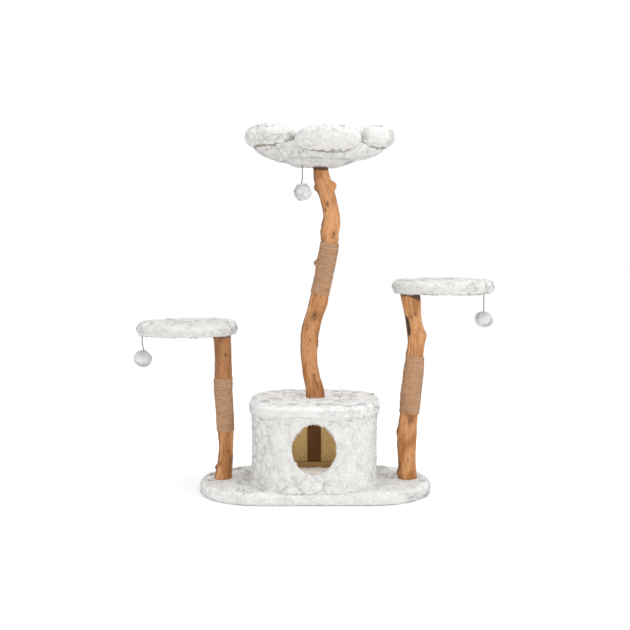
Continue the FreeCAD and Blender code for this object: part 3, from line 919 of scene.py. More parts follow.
@dataclass
class Den:
    """The den: a bent wall on a floor ring, a batten, a plush-covered wall with a doorway, and a lid."""

    corner: float = 0.150
    plush_depth: float = 0.010
    lid_edge: float = 0.014
    flare: float = 0.016
    row: float = 0.006
    around: int = 232
    # painted light on the lid's top
    painted_light: float = 0.8
    door_height: float = 0.195
    door_half_width: float = 0.0785
    door_half_height: float = 0.0898
    cover_gap: float = 0.012
    foot_reach: float = 0.022
    brow: float = 0.007
    brow_reach: float = 0.016
    lid_seam: float = 0.003
    # painted light on the lid's sides
    side_painted_light: float = 0.15

    def outline(self, grow: float) -> Outline:
        """The den's plan, grown past the wall board."""
        low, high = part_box("den_wall")
        return Outline((high[0] - low[0]) / 2 + grow, (high[1] - low[1]) / 2 + grow, self.corner + grow,
                       (high[0] + low[0]) / 2)

    def build(self, plush: PlushMaker) -> None:
        """Makes the wall's plush, the lid's plush and the mat, and dresses the boards."""
        self.build_wall(plush)
        self.build_lid(plush)
        self.build_mat(plush)
        dress(KRAFT, "den_wall")
        dress(RING, "den_floor_ring")
        dress(BATTEN, "den_batten")
        dress(CHIPBOARD, "den_lid_board")
        dress(FOAM, "den_lid_foam")

    def build_wall(self, plush: PlushMaker) -> None:
        """Makes the plush round the wall, with the doorway cut through it."""
        low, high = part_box("den_wall_cover")
        plan = self.outline(self.cover_gap)
        inner_plan = self.outline(self.cover_gap - self.plush_depth)
        bottom, top = low[2] - 0.004, high[2] - 0.002
        rows = round((top - bottom) / self.row)
        rings, inner = [], []
        for k in range(rows + 1):
            height = bottom + (top - bottom) * k / rows
            spread = self.flare * math.exp(-(height - bottom) / self.foot_reach)
            spread += self.brow * math.exp(-(top - height) / self.brow_reach)
            rings.append(ring_at(plan.ring(self.around, -spread), height))
            inner.append(ring_at(inner_plan.ring(self.around), height))
        points, inner_points = np.concatenate(rings), np.concatenate(inner)
        inside = self.cut_edge(points, inner_points, plan.x)
        faces = []
        for r in range(rows):
            for i in range(self.around):
                j = (i + 1) % self.around
                face = (r * self.around + i, r * self.around + j, (r + 1) * self.around + j,
                        (r + 1) * self.around + i)
                if not inside[list(face)].all():
                    faces.append(face)
        skin = Skin(points, faces, np.ones(len(points))).thickened(inner_points)
        plush.cover(skin.object("wall_skin"), "den_wall_plush", ("den_wall_cover",), Flow.DOWN, padded=0.3,
                    Density=37000.0, Wave_Height=0.004, Patches=-0.19, Leftward=0.85)

    def cut_edge(self, points: np.ndarray, inner: np.ndarray, x: float) -> np.ndarray:
        """Moves the points beside the doorway's oval onto it.

        Args:
            points: the outer points of the wall's plush, changed in place.
            inner: its inner points, changed in place.
            x: the oval's middle.

        Returns:
            For each point, whether it is inside the oval or on it.
        """
        dx = (points[:, 0] - x) / self.door_half_width
        dz = (points[:, 2] - self.door_height) / self.door_half_height
        reach = np.hypot(dx, dz)
        front = points[:, 1] < 0
        near = front & (np.abs(reach - 1) < 0.55 * self.row / self.door_half_width)
        for array in (points, inner):
            array[near, 0] = x + dx[near] / reach[near] * self.door_half_width
            array[near, 2] = self.door_height + dz[near] / reach[near] * self.door_half_height
        return front & (near | (reach < 1))

    def build_lid(self, plush: PlushMaker) -> None:
        """Makes the plush over the lid and the band round its edge, as one shell."""
        low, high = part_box("den_lid_cover")
        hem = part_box("den_lid_band")[0][2]
        plan = self.outline((high[0] - low[0]) / 2 - self.outline(0).half_width)
        top, side, seam = high[2], high[2] - self.lid_edge, self.lid_seam
        rise, reach, start = hem + 0.015, plan.half_depth, self.lid_edge + self.lid_seam
        profile = [(0.215, top - 0.012, 0), (0.020, top - 0.012, 0), (0.0145, top - 0.013, 0),
                   (0.0145, hem, 0), (0.0125, hem - 0.002, 0.7), (0.009, hem + 0.001, 1),
                   (0.006, hem + 0.007, 1)]
        profile += [(seam, rise + (side - rise) * k / 3, 1) for k in range(4)]
        profile += [(seam + inset, side + up, 1) for inset, up in arc(range(1, 5), 4, self.lid_edge)]
        profile += [(start + (reach - start) * k / 34, top, 1) for k in range(1, 34)]
        rings = [ring_at(plan.ring(240, inset), height) for inset, height, _ in profile]
        skin = Skin.lofted(rings, [weight for _, _, weight in profile])
        # painted light: the lid's top painted whiter than its sides
        painted_light = np.where(skin.points[:, 2] > side + 0.004, self.painted_light, self.side_painted_light)
        body = marked(skin.object("lid_skin"), "painted_light", painted_light)
        plush.cover(body, "den_lid_plush", ("den_lid_cover", "den_lid_band"), padded=0.8,
                    Wave_Height=0.002, Patches=-0.13, Leftward=0.25)

    def build_mat(self, plush: PlushMaker) -> None:
        """Makes the plush mat on the den's floor."""
        low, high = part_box("den_floor_mat")
        plan = Outline((high[0] - low[0]) / 2, (high[1] - low[1]) / 2, self.corner - 0.024,
                       (high[0] + low[0]) / 2)
        top, bottom = high[2], low[2]
        profile = [(0.16, bottom + 0.001, 0), (0.004, bottom + 0.001, 0), (0.001, bottom + 0.005, 0),
                   (0.001, top - 0.006, 1), (0.003, top - 0.001, 1), (0.008, top, 1)]
        profile += [(0.008 + (plan.half_depth - 0.008) * k / 22, top, 1) for k in range(1, 22)]
        rings = [ring_at(plan.ring(150, inset), height) for inset, height, _ in profile]
        skin = Skin.lofted(rings, [weight for _, _, weight in profile])
        plush.cover(skin.object("mat_skin"), "den_mat_plush", ("den_floor_mat",), padded=0.6,
                    Wave_Height=0.003, Density=38000.0)


@dataclass
class Perch:
    """A round perch: a board and foam in a stuffed plush cover."""

    side: str
    tilt: float = 0.0
    shrink: float = 0.003
    edge: float = 0.019
    # painted shade: how much darker the whole perch cover is painted
    wear_and_shade: float = 0.15

    def build(self, plush: PlushMaker) -> None:
        """Makes the stuffed cover and dresses what is in it."""
        low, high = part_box(f"{self.side}_perch_cover")
        radius, x = (high[0] - low[0]) / 2 - self.shrink, (high[0] + low[0]) / 2
        bottom, top = low[2] - 0.001, high[2] + 0.001
        plan = Outline(radius, radius, radius, x)
        half = (top - bottom) / 2
        profile = [(radius * (1 - k / 20), bottom) for k in range(1, 18)]
        middle, tall = bottom + half, half / self.edge
        profile += [(inset, middle + tall * up) for inset, up in arc(range(-4, 5), 4, self.edge)]
        profile += [(radius * k / 20, top) for k in range(3, 20)]
        rings = [ring_at(plan.ring(160, inset), height) for inset, height in profile]
        for ring in rings:
            ring[:, 2] += self.tilt * (ring[:, 0] - x) + 0.0015 * wave(ring, 0.11, x)
        body = Skin.lofted(rings, [1] * len(rings)).object(self.side + "_perch_skin")
        body = inflated(body, 0.0058, 3.0, 0.002, bottom + 0.006)
        heights = coordinates(body)[:, 2]
        marked(body, "pile", np.where(heights < bottom + 0.005, 0.55, 1.0))
        # the same painted shade over the whole cover
        marked(body, "marked_shade", np.full(len(heights), self.wear_and_shade))
        plush.cover(body, f"{self.side}_perch_plush", (f"{self.side}_perch_cover",), padded=0.8,
                    Wave_Height=0.0028, Density=40000.0, Patches=-0.09)
        dress(CHIPBOARD, f"{self.side}_perch_board")
        dress(FOAM, f"{self.side}_perch_foam")


@dataclass
class Bed:
    """The bed: five stuffed petals and a middle pad on a stuffed dish."""

    turn: float = math.radians(11)
    ring: float = 0.185
    tangent: float = 0.116
    radial: float = 0.087
    half_height: float = 0.045
    fold_height: float = 1.205
    lifts: tuple[float, ...] = (-0.008, -0.003, -0.003, -0.003, -0.005)
    shifts: tuple[float, ...] = (0.0, 0.007, 0.0, 0.0, 0.0)
    names: tuple[str, ...] = ("front", "right", "back_right", "back_left", "left")
    lobe: float = 0.075
    gathers: int = 46

    def build(self, plush: PlushMaker) -> None:
        """Makes the dish, the pad and the petals, and dresses the board."""
        low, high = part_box("bed_dish")
        self.x, self.bottom, self.seat = (low[0] + high[0]) / 2, low[2], high[2]
        self.build_dish(plush, (high[0] - low[0]) / 2)
        self.build_pad(plush)
        petal = self.petal_body()
        for index, name in enumerate(self.names):
            self.place_petal(plush, petal, index, name)
        bpy.data.objects.remove(petal)
        dress(CHIPBOARD, "bed_board")

    def bearing(self, points: np.ndarray) -> np.ndarray:
        """Each point's angle round the bed's middle, from the front towards +X."""
        return np.arctan2(points[:, 0] - self.x, -points[:, 1])

    def lobes(self, ring: np.ndarray, amount: float) -> np.ndarray:
        """Pushes a ring out under each petal and in between them."""
        flat = ring[:, :2] - (self.x, 0)
        grow = 1 + amount * np.cos(len(self.names) * (self.bearing(ring) - self.turn))
        ring[:, :2] = flat * grow[:, None] + (self.x, 0)
        return ring

    def build_dish(self, plush: PlushMaker, radius: float) -> None:
        """Makes the stuffed underside, gathered towards the petals' seams."""
        plan = Outline(radius, radius, radius, self.x)
        deep = self.seat - self.bottom
        shape = [(0.215, 0.0, 1), (0.19, 0.0, 1), (0.165, 0.0, 1), (0.145, 0.001, 1), (0.130, 0.005, 1),
                 (0.117, 0.0105, 1), (0.103, 0.0155, 1), (0.090, 0.020, 1), (0.076, 0.0245, 1),
                 (0.062, 0.0285, 1), (0.049, 0.0325, 1), (0.036, 0.0375, 1), (0.024, 0.0435, 1),
                 (0.013, 0.0505, 1), (0.005, 0.058, 1), (0.001, 0.0645, 1), (0.004, 0.069, 0.6),
                 (0.02, deep, 0), (0.12, deep, 0)]
        finer = np.arange(0, len(shape) - 0.5, 0.5)
        steps = [np.interp(finer, np.arange(len(shape)), column) for column in zip(*shape)]
        rings = []
        for inset, up in zip(*steps[:2]):
            out = 1 - inset / radius
            ring = self.lobes(ring_at(plan.ring(220, inset), self.bottom + up), self.lobe * out ** 3)
            wander = self.gathers * self.bearing(ring) + 3 * wave(ring, 0.09)
            ring[:, 2] += np.sin(wander) * max(0.0, out - 0.62) * 0.009 * (up < 0.062)
            rings.append(ring)
        skin = Skin.lofted(rings, steps[2])
        fold = self.fold(skin)
        self.dish = BVHTree.FromPolygons(skin.points.tolist(), skin.faces)
        # painted shade along the fold's groove
        body = marked(skin.object("dish_skin"), "marked_shade", fold)
        plush.cover(body, "bed_dish_plush", ("bed_dish",), padded=0.9, Wave_Height=0.005,
                    Density=40000.0, Patches=-0.01, Leftward=0.5)

    def fold(self, skin: Skin) -> np.ndarray:
        """Rolls the dish's front over a fold that runs under the front petal, and returns how deep its groove
        is, as painted shade for the groove.
        """
        points = skin.points
        level = points[:, 2] - self.fold_height - 0.002 * wave(points, 0.05, 2.0)
        within = np.hypot(points[:, 0], points[:, 1]) < 0.215
        facing = np.clip((0.95 - np.abs(self.bearing(points) - 0.1)) / 0.3, 0, 1) * within
        groove = np.exp(-(level / 0.003) ** 2) * facing
        bulge = np.exp(-((level - 0.009) / 0.006) ** 2) * facing
        points[:, 2] += 0.005 * groove - 0.007 * bulge
        points[:, :2] *= (1 + 0.02 * bulge)[:, None]
        # painted shade in the groove, patchy along it
        return groove * np.clip(0.55 + 1.2 * wave(points, 0.022, 8.0), 0, 0.9)

    def build_pad(self, plush: PlushMaker) -> None:
        """Makes the pad in the middle of the petals."""
        low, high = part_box("bed_middle_pad")
        radius = (high[0] - low[0]) / 2 + 0.014
        plan = Outline(radius, radius, radius, self.x)
        profile = [(0.07, -0.002), (0.004, -0.001), (0.0, 0.004), (0.005, 0.009), (0.02, 0.012),
                   (0.035, 0.0125), (0.05, 0.0115), (0.065, 0.010), (0.08, 0.008), (0.092, 0.006)]
        rings = [ring_at(plan.ring(96, inset), low[2] + up) for inset, up in profile]
        skin = Skin.lofted(rings, [0, 0] + [1] * (len(rings) - 2))
        plush.cover(skin.object("pad_skin"), "bed_pad_plush", ("bed_middle_pad",), padded=0.7,
                    Wave_Height=0.003)

    def petal_body(self) -> bpy.types.Object:
        """One petal at the origin, pointing to -Y: a plump cushion that narrows towards the middle."""
        rings = []
        angle = np.arange(72) / 72 * TURN
        for k in range(1, 24):
            lift = -math.cos(k / 24 * math.pi)
            level = math.sin(k / 24 * math.pi) ** 0.8
            x, y = self.tangent * level * np.cos(angle), self.radial * level * np.sin(angle)
            narrow = 1 - 0.22 * np.clip(y / self.radial, 0, 1)
            z = self.half_height * lift - 0.012 * (y > 0) * lift * (y / self.radial) ** 2
            rings.append(np.column_stack([x * narrow, y, z]))
        body = Skin.lofted(rings, [1] * len(rings)).object("petal_skin")
        return inflated(body, 0.0052, 5.0, 0.010, -0.8 * self.half_height)

    def place_petal(self, plush: PlushMaker, petal: bpy.types.Object, index: int, name: str) -> None:
        """Turns a copy of the petal into its place and covers it with plush."""
        node = "bed_petal_" + name
        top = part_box(node)[1][2]
        copy = added(node + "_skin", petal.data.copy())
        points = coordinates(copy)
        points[:, 2] += 0.10 * np.clip(-points[:, 1], 0, 1) + 0.004 * wave(points, 0.09, 3.0 + index)
        a = self.turn + index * TURN / len(self.names)
        turned = np.column_stack([points[:, 0] * math.cos(a) - points[:, 1] * math.sin(a),
                                  points[:, 0] * math.sin(a) + points[:, 1] * math.cos(a), points[:, 2]])
        out = self.ring + self.shifts[index]
        turned += (self.x + out * math.sin(a), -out * math.cos(a), top - 0.050 + self.lifts[index])
        copy.data.vertices.foreach_set("co", turned.ravel())
        copy.data.update()
        marked(copy, "pile", np.where(turned[:, 2] < self.seat - 0.02, 0.5, 1.0))
        # painted shade: tan-dark low down between neighbouring petals, and under each petal where it meets
        # the dish
        seam = np.abs(points[:, 0]) / np.maximum(0.72 * (self.ring - points[:, 1]), 0.01)
        deep = 0.9 * np.clip((seam - 0.84) / 0.10, 0, 1) * np.clip((0.047 - points[:, 2]) / 0.025, 0, 1)
        gap = np.array([self.dish.find_nearest(Vector(p))[3] for p in turned])
        gap -= 0.009 + 0.005 * wave(turned, 0.018, 5.0 + index)
        under = 0.92 * np.clip(-gap / 0.003, 0, 1) * (turned[:, 2] < self.seat)
        marked(copy, "marked_shade", np.maximum(deep, under))
        plush.cover(copy, node + "_plush", (node,), padded=0.9, Wave_Height=0.0025, Plate_Height=0.0025,
                    Length=0.0075, Patches=-0.13, Leftward=0.4)


@dataclass(frozen=True)
class Eye:
    """A knot's eye on a branch: a pit with a swollen rim.

    The fields are its height, its angle from the front towards +X in degrees, its radius, its depth, how far
    the wood round it swells, and how dark it is.
    """

    height: float
    angle: float
    radius: float = 0.006
    depth: float = 0.004
    lift: float = 0.0
    dark: float = 0.95


@dataclass
class Branch:
    """One natural branch and the rope wound round its middle.

    The hollow is given by its lowest and highest point and its angle, and the dim stretch of painted shade by
    its lowest and highest point and how dim it is.
    """

    name: str
    eyes: tuple[Eye, ...]
    hollow: Triple | None = None
    # the painted shade of the dim stretch
    dim: Triple = (0.0, 0.0, 0.0)
    # how much further the dark top band, partly painted shadow, reaches on one side
    top_band_reach: float = 0.0
    hidden_top: float = 0.011
    # how far round the -X side the painted side shade reaches
    side_shade_reach: float = 0.72
    columns: int = 84
    row: float = 0.004
    rope_radius: float = 0.0021
    pitch: float = 0.0041
    girth: float = 0.033
    wrapped: float = 0.036
    per_turn: int = 44

    def build(self, ropes: WoundRopeTree) -> None:
        """Makes the wood and the rope."""
        self.measure()
        self.carve()
        self.build_wood()
        self.build_rope(ropes)

    def measure(self) -> None:
        """Reads the branch's middle line and its radius all round from the frame's node."""
        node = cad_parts[self.name + "_branch"]
        faces = [face.vertices[:] for face in node.data.polygons]
        tree = BVHTree.FromPolygons([v.co.copy() for v in node.data.vertices], faces)
        low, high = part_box(self.name + "_branch")
        count = round((high[2] - low[2]) / self.row)
        self.heights = np.linspace(low[2] + 0.0004, high[2] - 0.0004, count)
        middle = []
        for z in self.heights:
            left = tree.ray_cast(Vector((low[0] - 0.05, 0.0, z)), Vector((1, 0, 0)))[0]
            right = tree.ray_cast(Vector((high[0] + 0.05, 0.0, z)), Vector((-1, 0, 0)))[0]
            x = (left.x + right.x) / 2
            front = tree.ray_cast(Vector((x, -0.2, z)), Vector((0, 1, 0)))[0]
            back = tree.ray_cast(Vector((x, 0.2, z)), Vector((0, -1, 0)))[0]
            middle.append((x, (front.y + back.y) / 2))
        ends = np.pad(np.array(middle), ((6, 6), (0, 0)), mode="edge")
        self.axis = np.column_stack([np.convolve(ends[:, i], np.ones(13) / 13, "valid") for i in (0, 1)])
        self.angles = np.arange(self.columns) / self.columns * TURN
        radii = np.zeros((count, self.columns))
        for r, z in enumerate(self.heights):
            centre = Vector((*self.axis[r], z))
            for c, a in enumerate(self.angles):
                way = Vector((math.sin(a), -math.cos(a), 0))
                hit = tree.ray_cast(centre + way * 0.12, -way)[0]
                radii[r, c] = (hit - centre).length
        for _ in range(2):
            beside = np.roll(radii, 1, 1) + np.roll(radii, -1, 1)
            tall = np.pad(radii, ((1, 1), (0, 0)), mode="edge")
            radii = 0.4 * radii + 0.15 * beside + 0.15 * (tall[2:] + tall[:-2])
        self.radii = radii

    def carve(self) -> None:
        """Adds flutes, lumps, eyes and hollows to the branch's surface, darkens the cracks, knots, hollows
        and the top band, and works out the painted shade down its sides.
        """
        self.stain = np.zeros_like(self.radii)
        own = self.axis[0, 0]
        for r, z in enumerate(self.heights):
            for c, a in enumerate(self.angles):
                x, y = 0.03 * math.sin(a), -0.03 * math.cos(a)
                spot = Vector((x, y, z * 0.22 + own * 9))
                lumps = noise.noise(spot / 0.03) * 0.0034 + noise.noise(spot / 0.012) * 0.0016
                ragged = noise.noise(Vector((x, y, z)) / 0.018) * 0.0009
                flute = abs(noise.noise(Vector((x, y, z * 0.06 + 4 + own)) / 0.011))
                self.radii[r, c] += lumps + ragged - 0.0022 * max(0.0, 0.30 - flute) / 0.30
                crack = abs(noise.noise(Vector((x * 1.4, y * 1.4, z * 0.10 + 7 + own)) / 0.02))
                open_here = noise.noise(Vector((x, y, z * 0.5 + 3)) / 0.05)
                if crack < 0.035 and open_here > 0.12:
                    self.radii[r, c] -= 0.0013
                    self.stain[r, c] = 0.5
                # the top band: dark bark with painted shadow
                self.stain[r, c] = max(self.stain[r, c], self.top_band_bark_and_shadow(x, y, z, a))
        self.edge = self.painted_side_shade()
        for eye in self.eyes:
            self.add_eye(eye)
        if self.hollow:
            low, high, angle = self.hollow
            across = np.abs(self.turned(angle)) / 0.40
            along = np.abs(self.heights - (low + high) / 2) / ((high - low) / 2)
            depth = np.clip(1.15 - np.hypot(across[None, :], along[:, None] ** 2), 0, 0.35) / 0.35
            self.radii -= 0.003 * depth
            self.stain = np.maximum(self.stain, depth)

    def top_band_bark_and_shadow(self, x: float, y: float, z: float, angle: float) -> float:
        """How dark the top end's band is at a point: dark bark left on, with the perch's shadow painted over
        it.
        """
        ragged = 0.5 + 0.5 * noise.noise(Vector((x, y, 1)) / 0.008)
        top_band_reach = 0.002 + 0.014 * ragged + self.top_band_reach * max(0.0, math.sin(angle + 0.3)) ** 2 * ragged
        return 0.85 * float(self.heights[-1] - self.hidden_top - z < top_band_reach)

    def turned(self, angle: float) -> np.ndarray:
        """Each column's angle from the given one, in radians."""
        return (self.angles - math.radians(angle) + math.pi) % TURN - math.pi

    def add_eye(self, eye: Eye) -> None:
        """Sinks one eye into the surface, with its rim."""
        across = self.turned(eye.angle)[None, :] * self.girth
        along = (self.heights[:, None] - eye.height) * 0.8
        far = np.hypot(across, along) / eye.radius
        self.radii += eye.depth * 0.55 * np.exp(-((far - 1.5) / 0.6) ** 2)
        self.radii -= eye.depth * np.exp(-far ** 2 / 0.6)
        self.radii += eye.lift * np.exp(-far ** 2 / 4)
        self.stain = np.maximum(self.stain, eye.dark * np.exp(-far ** 2 / 0.55))
        self.stain = np.maximum(self.stain, 0.3 * eye.dark * np.exp(-((far - 1.4) / 0.5) ** 2))

    def painted_side_shade(self) -> np.ndarray:
        """How much painted side shade each point gets, mostly down the -X side, with the dim stretch's
        painted shade.
        """
        edge = np.zeros_like(self.radii)
        left = np.abs(self.turned(-96.0))
        right = np.abs(self.turned(98.0))
        low, high, amount = self.dim
        for r, z in enumerate(self.heights):
            wander = 0.14 * noise.noise(Vector((self.axis[0, 0] * 9, 2.0, z / 0.03)))
            edge[r] = np.clip((self.side_shade_reach + wander - left) / 0.28, 0, 1)
            edge[r] = np.maximum(edge[r], 0.85 * np.clip((0.42 + 2 * wander - right) / 0.22, 0, 1))
            edge[r] = np.maximum(edge[r], amount * (low < z < high))
        return edge

    def surface(self, height: float, angle: float) -> tuple[float, np.ndarray]:
        """The branch's radius and middle at a height, and at an angle from the front towards +X."""
        row = np.interp(height, self.heights, np.arange(len(self.heights)))
        column = angle / TURN * self.columns % self.columns
        r0, c0 = int(min(row, len(self.heights) - 2)), int(column)
        fr, fc = row - r0, column - c0
        c1 = (c0 + 1) % self.columns
        near = self.radii[r0, c0] * (1 - fc) + self.radii[r0, c1] * fc
        far = self.radii[r0 + 1, c0] * (1 - fc) + self.radii[r0 + 1, c1] * fc
        middle = self.axis[r0] * (1 - fr) + self.axis[r0 + 1] * fr
        return near * (1 - fr) + far * fr, middle

    def build_wood(self) -> None:
        """Makes the branch's mesh."""
        rings = []
        for r, z in enumerate(self.heights):
            flat = np.column_stack([np.sin(self.angles), -np.cos(self.angles)]) * self.radii[r][:, None]
            rings.append(ring_at(flat + self.axis[r], z))
        skin = Skin.lofted(rings, [0] * len(rings))
        wood = skin.object(self.name + "_branch_wood")
        # cracks, knots, hollows and the top band, which is partly painted shadow
        marked(wood, "stain", np.append(self.stain, [0, 0.8]))
        # painted side shade
        marked(wood, "edge", np.append(self.edge, [0, 0]))
        wood.data.materials.append(WOOD.material())
        settle(wood, STAND, (self.name + "_branch",))

    def build_rope(self, ropes: WoundRopeTree) -> None:
        """Winds the rope, turn on turn, square to the branch's own direction."""
        low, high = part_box(self.name + "_rope_wrap")
        middle = (low[2] + high[2]) / 2
        ends = [np.interp(middle + side * 0.08, self.heights, self.axis[:, 0]) for side in (-1, 1)]
        lean = (ends[1] - ends[0]) / 0.16
        margin = abs(lean) * self.wrapped + self.rope_radius
        start, end = low[2] + margin, high[2] - margin
        count = (end - start) / self.pitch * self.per_turn
        points, tones = [], []
        for k in range(int(count) + 1):
            angle = k / self.per_turn * TURN
            x, y = math.sin(angle), math.cos(angle)
            level = start + k / self.per_turn * self.pitch
            height = level - self.wrapped * x * lean
            radius, centre = self.surface(height, angle)
            sunk = 0.004 * max(0.0, 1 - min(k, count - k) / self.per_turn * 7)
            slack = 0.00045 * noise.noise(Vector((x * 3, y * 3, level / 0.006)))
            out = radius + self.rope_radius * 0.9 + slack - sunk
            points.append((centre[0] + out * x, centre[1] - out * y, height))
            turn_tone = 0.5 * noise.noise(Vector((angle / 2, 3.0, level / 0.0023)))
            broad_tone = 0.3 * noise.noise(Vector((angle / 2, 5.0, level / 0.02)))
            # painted shade: darker towards the rope's -X and +X sides
            aside = 0.4 * max(0.0, abs(x) - 0.72) / 0.28
            tones.append(0.5 - aside + turn_tone + broad_tone)
        mesh = bpy.data.meshes.new("rope_line")
        mesh.from_pydata(points, [(i, i + 1) for i in range(len(points) - 1)], [])
        line = marked(added("rope_line", mesh), "tone", tones)
        rope = ropes.bake(line, self.name + "_rope", Rope_Radius=self.rope_radius, Material=ROPE.material())
        settle(rope, STAND, (self.name + "_rope_wrap",))


@dataclass
class Toy:
    """A pom-pom on an elastic cord. The route's points are measured from the pivot."""

    side: str
    pivot: Triple
    route: tuple[Triple, ...]
    length: float
    squash: Triple = (1.0, 1.0, 1.0)
    core: float = 0.0275
    cord_radius: float = 0.0015

    def build(self, plush: PlushMaker) -> None:
        """Makes the cord and the pom-pom, and dresses the knots and the tab."""
        body = self.side + "_pompom"
        cord = self.build_cord()
        settle(cord, body, (self.side + "_toy_cord",))
        low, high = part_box(self.side + "_toy_ball")
        middle = [(a + b) / 2 for a, b in zip(low, high)]
        angle = np.arange(36) / 36 * TURN
        rings = []
        for k in range(1, 20):
            up, out = -math.cos(k / 20 * math.pi), math.sin(k / 20 * math.pi)
            circle = np.column_stack([out * np.cos(angle), out * np.sin(angle), np.full(36, up)])
            rings.append(circle * self.squash * self.core + middle)
        core = Skin.lofted(rings, [1] * len(rings)).object("core")
        ball = plush.cover(core, self.side + "_pompom_yarn", (self.side + "_toy_ball",), rides=body,
                           Density=190000.0, Length=0.0095, Width=0.003, Lean=0.52, Wave_Size=0.03,
                           Wave_Height=0.003, Plate_Height=0.0)
        dress(ELASTIC, f"{self.side}_toy_top_knot", f"{self.side}_toy_end_knot")
        dress(FELT, f"{self.side}_toy_anchor")

    def build_cord(self) -> bpy.types.Object:
        """The cord as one smooth curve along its route."""
        curve = bpy.data.curves.new(self.side + "_elastic", "CURVE")
        curve.dimensions = "3D"
        curve.resolution_u = 16
        curve.bevel_depth = self.cord_radius
        curve.bevel_resolution = 4
        curve.use_fill_caps = True
        spline = curve.splines.new("NURBS")
        spline.points.add(len(self.route) - 1)
        for point, place in zip(spline.points, self.route):
            point.co = (*(p + q for p, q in zip(self.pivot, place)), 1.0)
        spline.order_u = 3
        spline.use_endpoint_u = True
        curve.materials.append(ELASTIC.material())
        return added(self.side + "_elastic", curve)


# ---------------------------------------------------------------- the studio

@dataclass
class Studio:
    """A pale floor, soft light and the camera."""

    distance: float = 3.5
    eye_height: float = 0.886
    pitch: float = math.radians(3.88)
    lens: float = 54.8
    sky: float = 1.045

    def build(self) -> None:
        """Sets everything up."""
        scene = bpy.context.scene
        scene.view_settings.view_transform = "Standard"
        camera = bpy.data.cameras.new("camera")
        camera.lens = self.lens
        camera.sensor_width = 36
        holder = added("camera", camera)
        holder.location = (0, -self.distance, self.eye_height)
        holder.rotation_euler = (math.pi / 2 - self.pitch, 0, 0)
        scene.camera = holder
        world = bpy.data.worlds.new("studio")
        world.use_nodes = True
        background = world.node_tree.nodes["Background"]
        background.inputs["Color"].default_value = (1.0, 1.0, 1.0, 1.0)
        background.inputs["Strength"].default_value = self.sky
        scene.world = world
        self.lamp("key", (2.4, -2.4, 2.2), (0.0, 0.0, 0.7), 1.8, 22.0)
        self.lamp("top", (0.3, -0.2, 3.6), (0.0, 0.0, 0.0), 2.4, 28.0)
        self.lamp("den", (0.0, -0.10, 0.285), (0.0, 0.16, 0.12), 0.10, 0.9)
        self.floor()

    def lamp(self, name: str, place: Triple, target: Triple, size: float, power: float) -> None:
        """Adds a square soft lamp that looks at the target."""
        light = bpy.data.lights.new(name, "AREA")
        light.size = size
        light.energy = power
        holder = added(name, light)
        holder.location = place
        holder.rotation_euler = (Vector(target) - Vector(place)).to_track_quat("-Z", "Y").to_euler()

    def floor(self) -> None:
        """Adds the pale floor."""
        shader = Shader("pale_floor", Specular_IOR_Level=0.1)
        speck = shader.noise(shader.place, 0.4, 2.0)
        material = shader.finish(shader.mix(speck, (0.96, 0.96, 0.96), (0.98, 0.98, 0.98)), 0.9)
        mesh = bpy.data.meshes.new("floor")
        mesh.from_pydata([(-30, -30, 0), (30, -30, 0), (30, 60, 0), (-30, 60, 0)], [], [(0, 1, 2, 3)])
        floor = added("floor", mesh)
        floor.location = (0, 0, -0.0005)
        floor.data.materials.append(material)


def build_toys(plush: PlushMaker) -> None:
    """Makes the three hanging toys."""
    toys = (
        Toy("left", (-0.633, 0, 0.576), (
            (0, 0, -0.0023), (-0.0008, 0.0003, -0.018), (0.0003, 0.0006, -0.035), (0.0038, 0.0004, -0.051),
            (0.0080, 0.0002, -0.065), (0.0076, 0, -0.079),
        ), 0.0775, (1.0, 1.0, 0.97)),
        Toy("right", (0.617, 0, 0.728), (
            (0, 0, -0.0023), (0.0005, 0.0006, -0.022), (-0.0003, 0.0004, -0.043), (0.0004, -0.0004, -0.064),
            (0, 0, -0.084),
        ), 0.0817, (1.04, 1.0, 0.9)),
        Toy("bed", (-0.045, -0.058, 1.183), (
            (0, 0, -0.0023), (-0.0004, 0.0005, -0.020), (0.0001, 0.0005, -0.038), (-0.0012, 0, -0.055),
            (-0.0056, -0.0003, -0.067), (-0.0048, 0, -0.080),
        ), 0.0782, (1.04, 1.0, 0.98)),
    )
    for toy in toys:
        toy.build(plush)


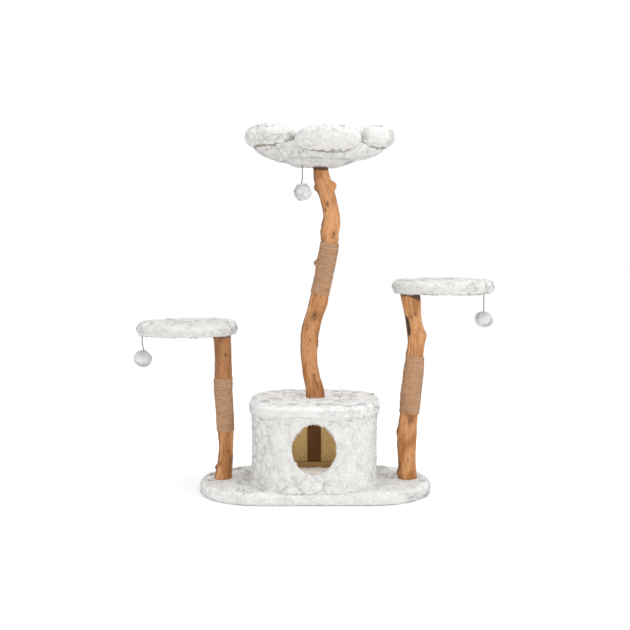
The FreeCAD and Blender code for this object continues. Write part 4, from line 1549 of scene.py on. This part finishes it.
def build_branches() -> None:
    """Makes the three branches with their ropes."""
    ropes = WoundRopeTree()
    middle = (
        Eye(1.052, -14, 0.006), Eye(0.945, 26, 0.006, 0.005), Eye(1.030, -38, 0.004), Eye(0.932, 20, 0.004),
        Eye(0.649, 3, 0.007), Eye(0.634, 8, 0.004), Eye(0.543, 72, 0.005, 0.005), Eye(0.427, 20, 0.0055),
        Eye(0.690, 88, 0.012, 0.0, 0.005, 0.0), Eye(0.965, -85, 0.013, 0.0, 0.006, 0.5),
        Eye(0.985, -88, 0.004, 0.003, 0.003), Eye(0.930, -80, 0.004, 0.002, 0.0),
        Eye(0.399, 27, 0.004), Eye(0.700, 160, 0.008, 0.006), Eye(0.480, -150, 0.007), Eye(1.000, 200, 0.008),
    )
    left = (Eye(0.100, -35, 0.005), Eye(0.505, 25, 0.004), Eye(0.150, 30, 0.0035), Eye(0.47, 170, 0.007),
            Eye(0.13, 150, 0.006))
    right = (Eye(0.654, 12, 0.005), Eye(0.263, 8, 0.007, 0.003), Eye(0.575, 72, 0.011, 0.0, 0.007, 0.10),
             Eye(0.586, 60, 0.003, 0.002), Eye(0.563, 66, 0.003, 0.002),
             Eye(0.216, -88, 0.007, 0.0, 0.006, 0.3), Eye(0.080, -75, 0.012, 0.0, 0.006, 0.2),
             Eye(0.510, -85, 0.005, 0.0, 0.004, 0.7), Eye(0.645, -20, 0.003), Eye(0.60, 170, 0.008),
             Eye(0.15, -160, 0.007), Eye(0.275, 15, 0.004, 0.002))
    for branch in (Branch("middle", middle, dim=(0.30, 0.66, 0.24)),
                   Branch("left", left, side_shade_reach=0.95, dim=(0.38, 0.60, 0.62)),
                   Branch("right", right, hollow=(0.572, 0.646, -66), top_band_reach=0.045, side_shade_reach=0.6)):
        branch.build(ropes)


def main() -> None:
    """Builds the whole cat tree, one sub-assembly after another."""
    logging.basicConfig(level=logging.INFO, format="%(message)s")
    Studio().build()
    plush = PlushMaker()
    build_toys(plush)
    perches = (Perch("left", tilt=0.008), Perch("right"))
    bed = Bed()
    for perch in perches:
        perch.build(plush)
    bed.build(plush)
    den = Den()
    den.build(plush)
    Base().build(plush, den)
    build_branches()
    dress(STEEL, "branch_bolts", "branch_washers", "branch_inserts")


if __name__ == "__main__":
    main()
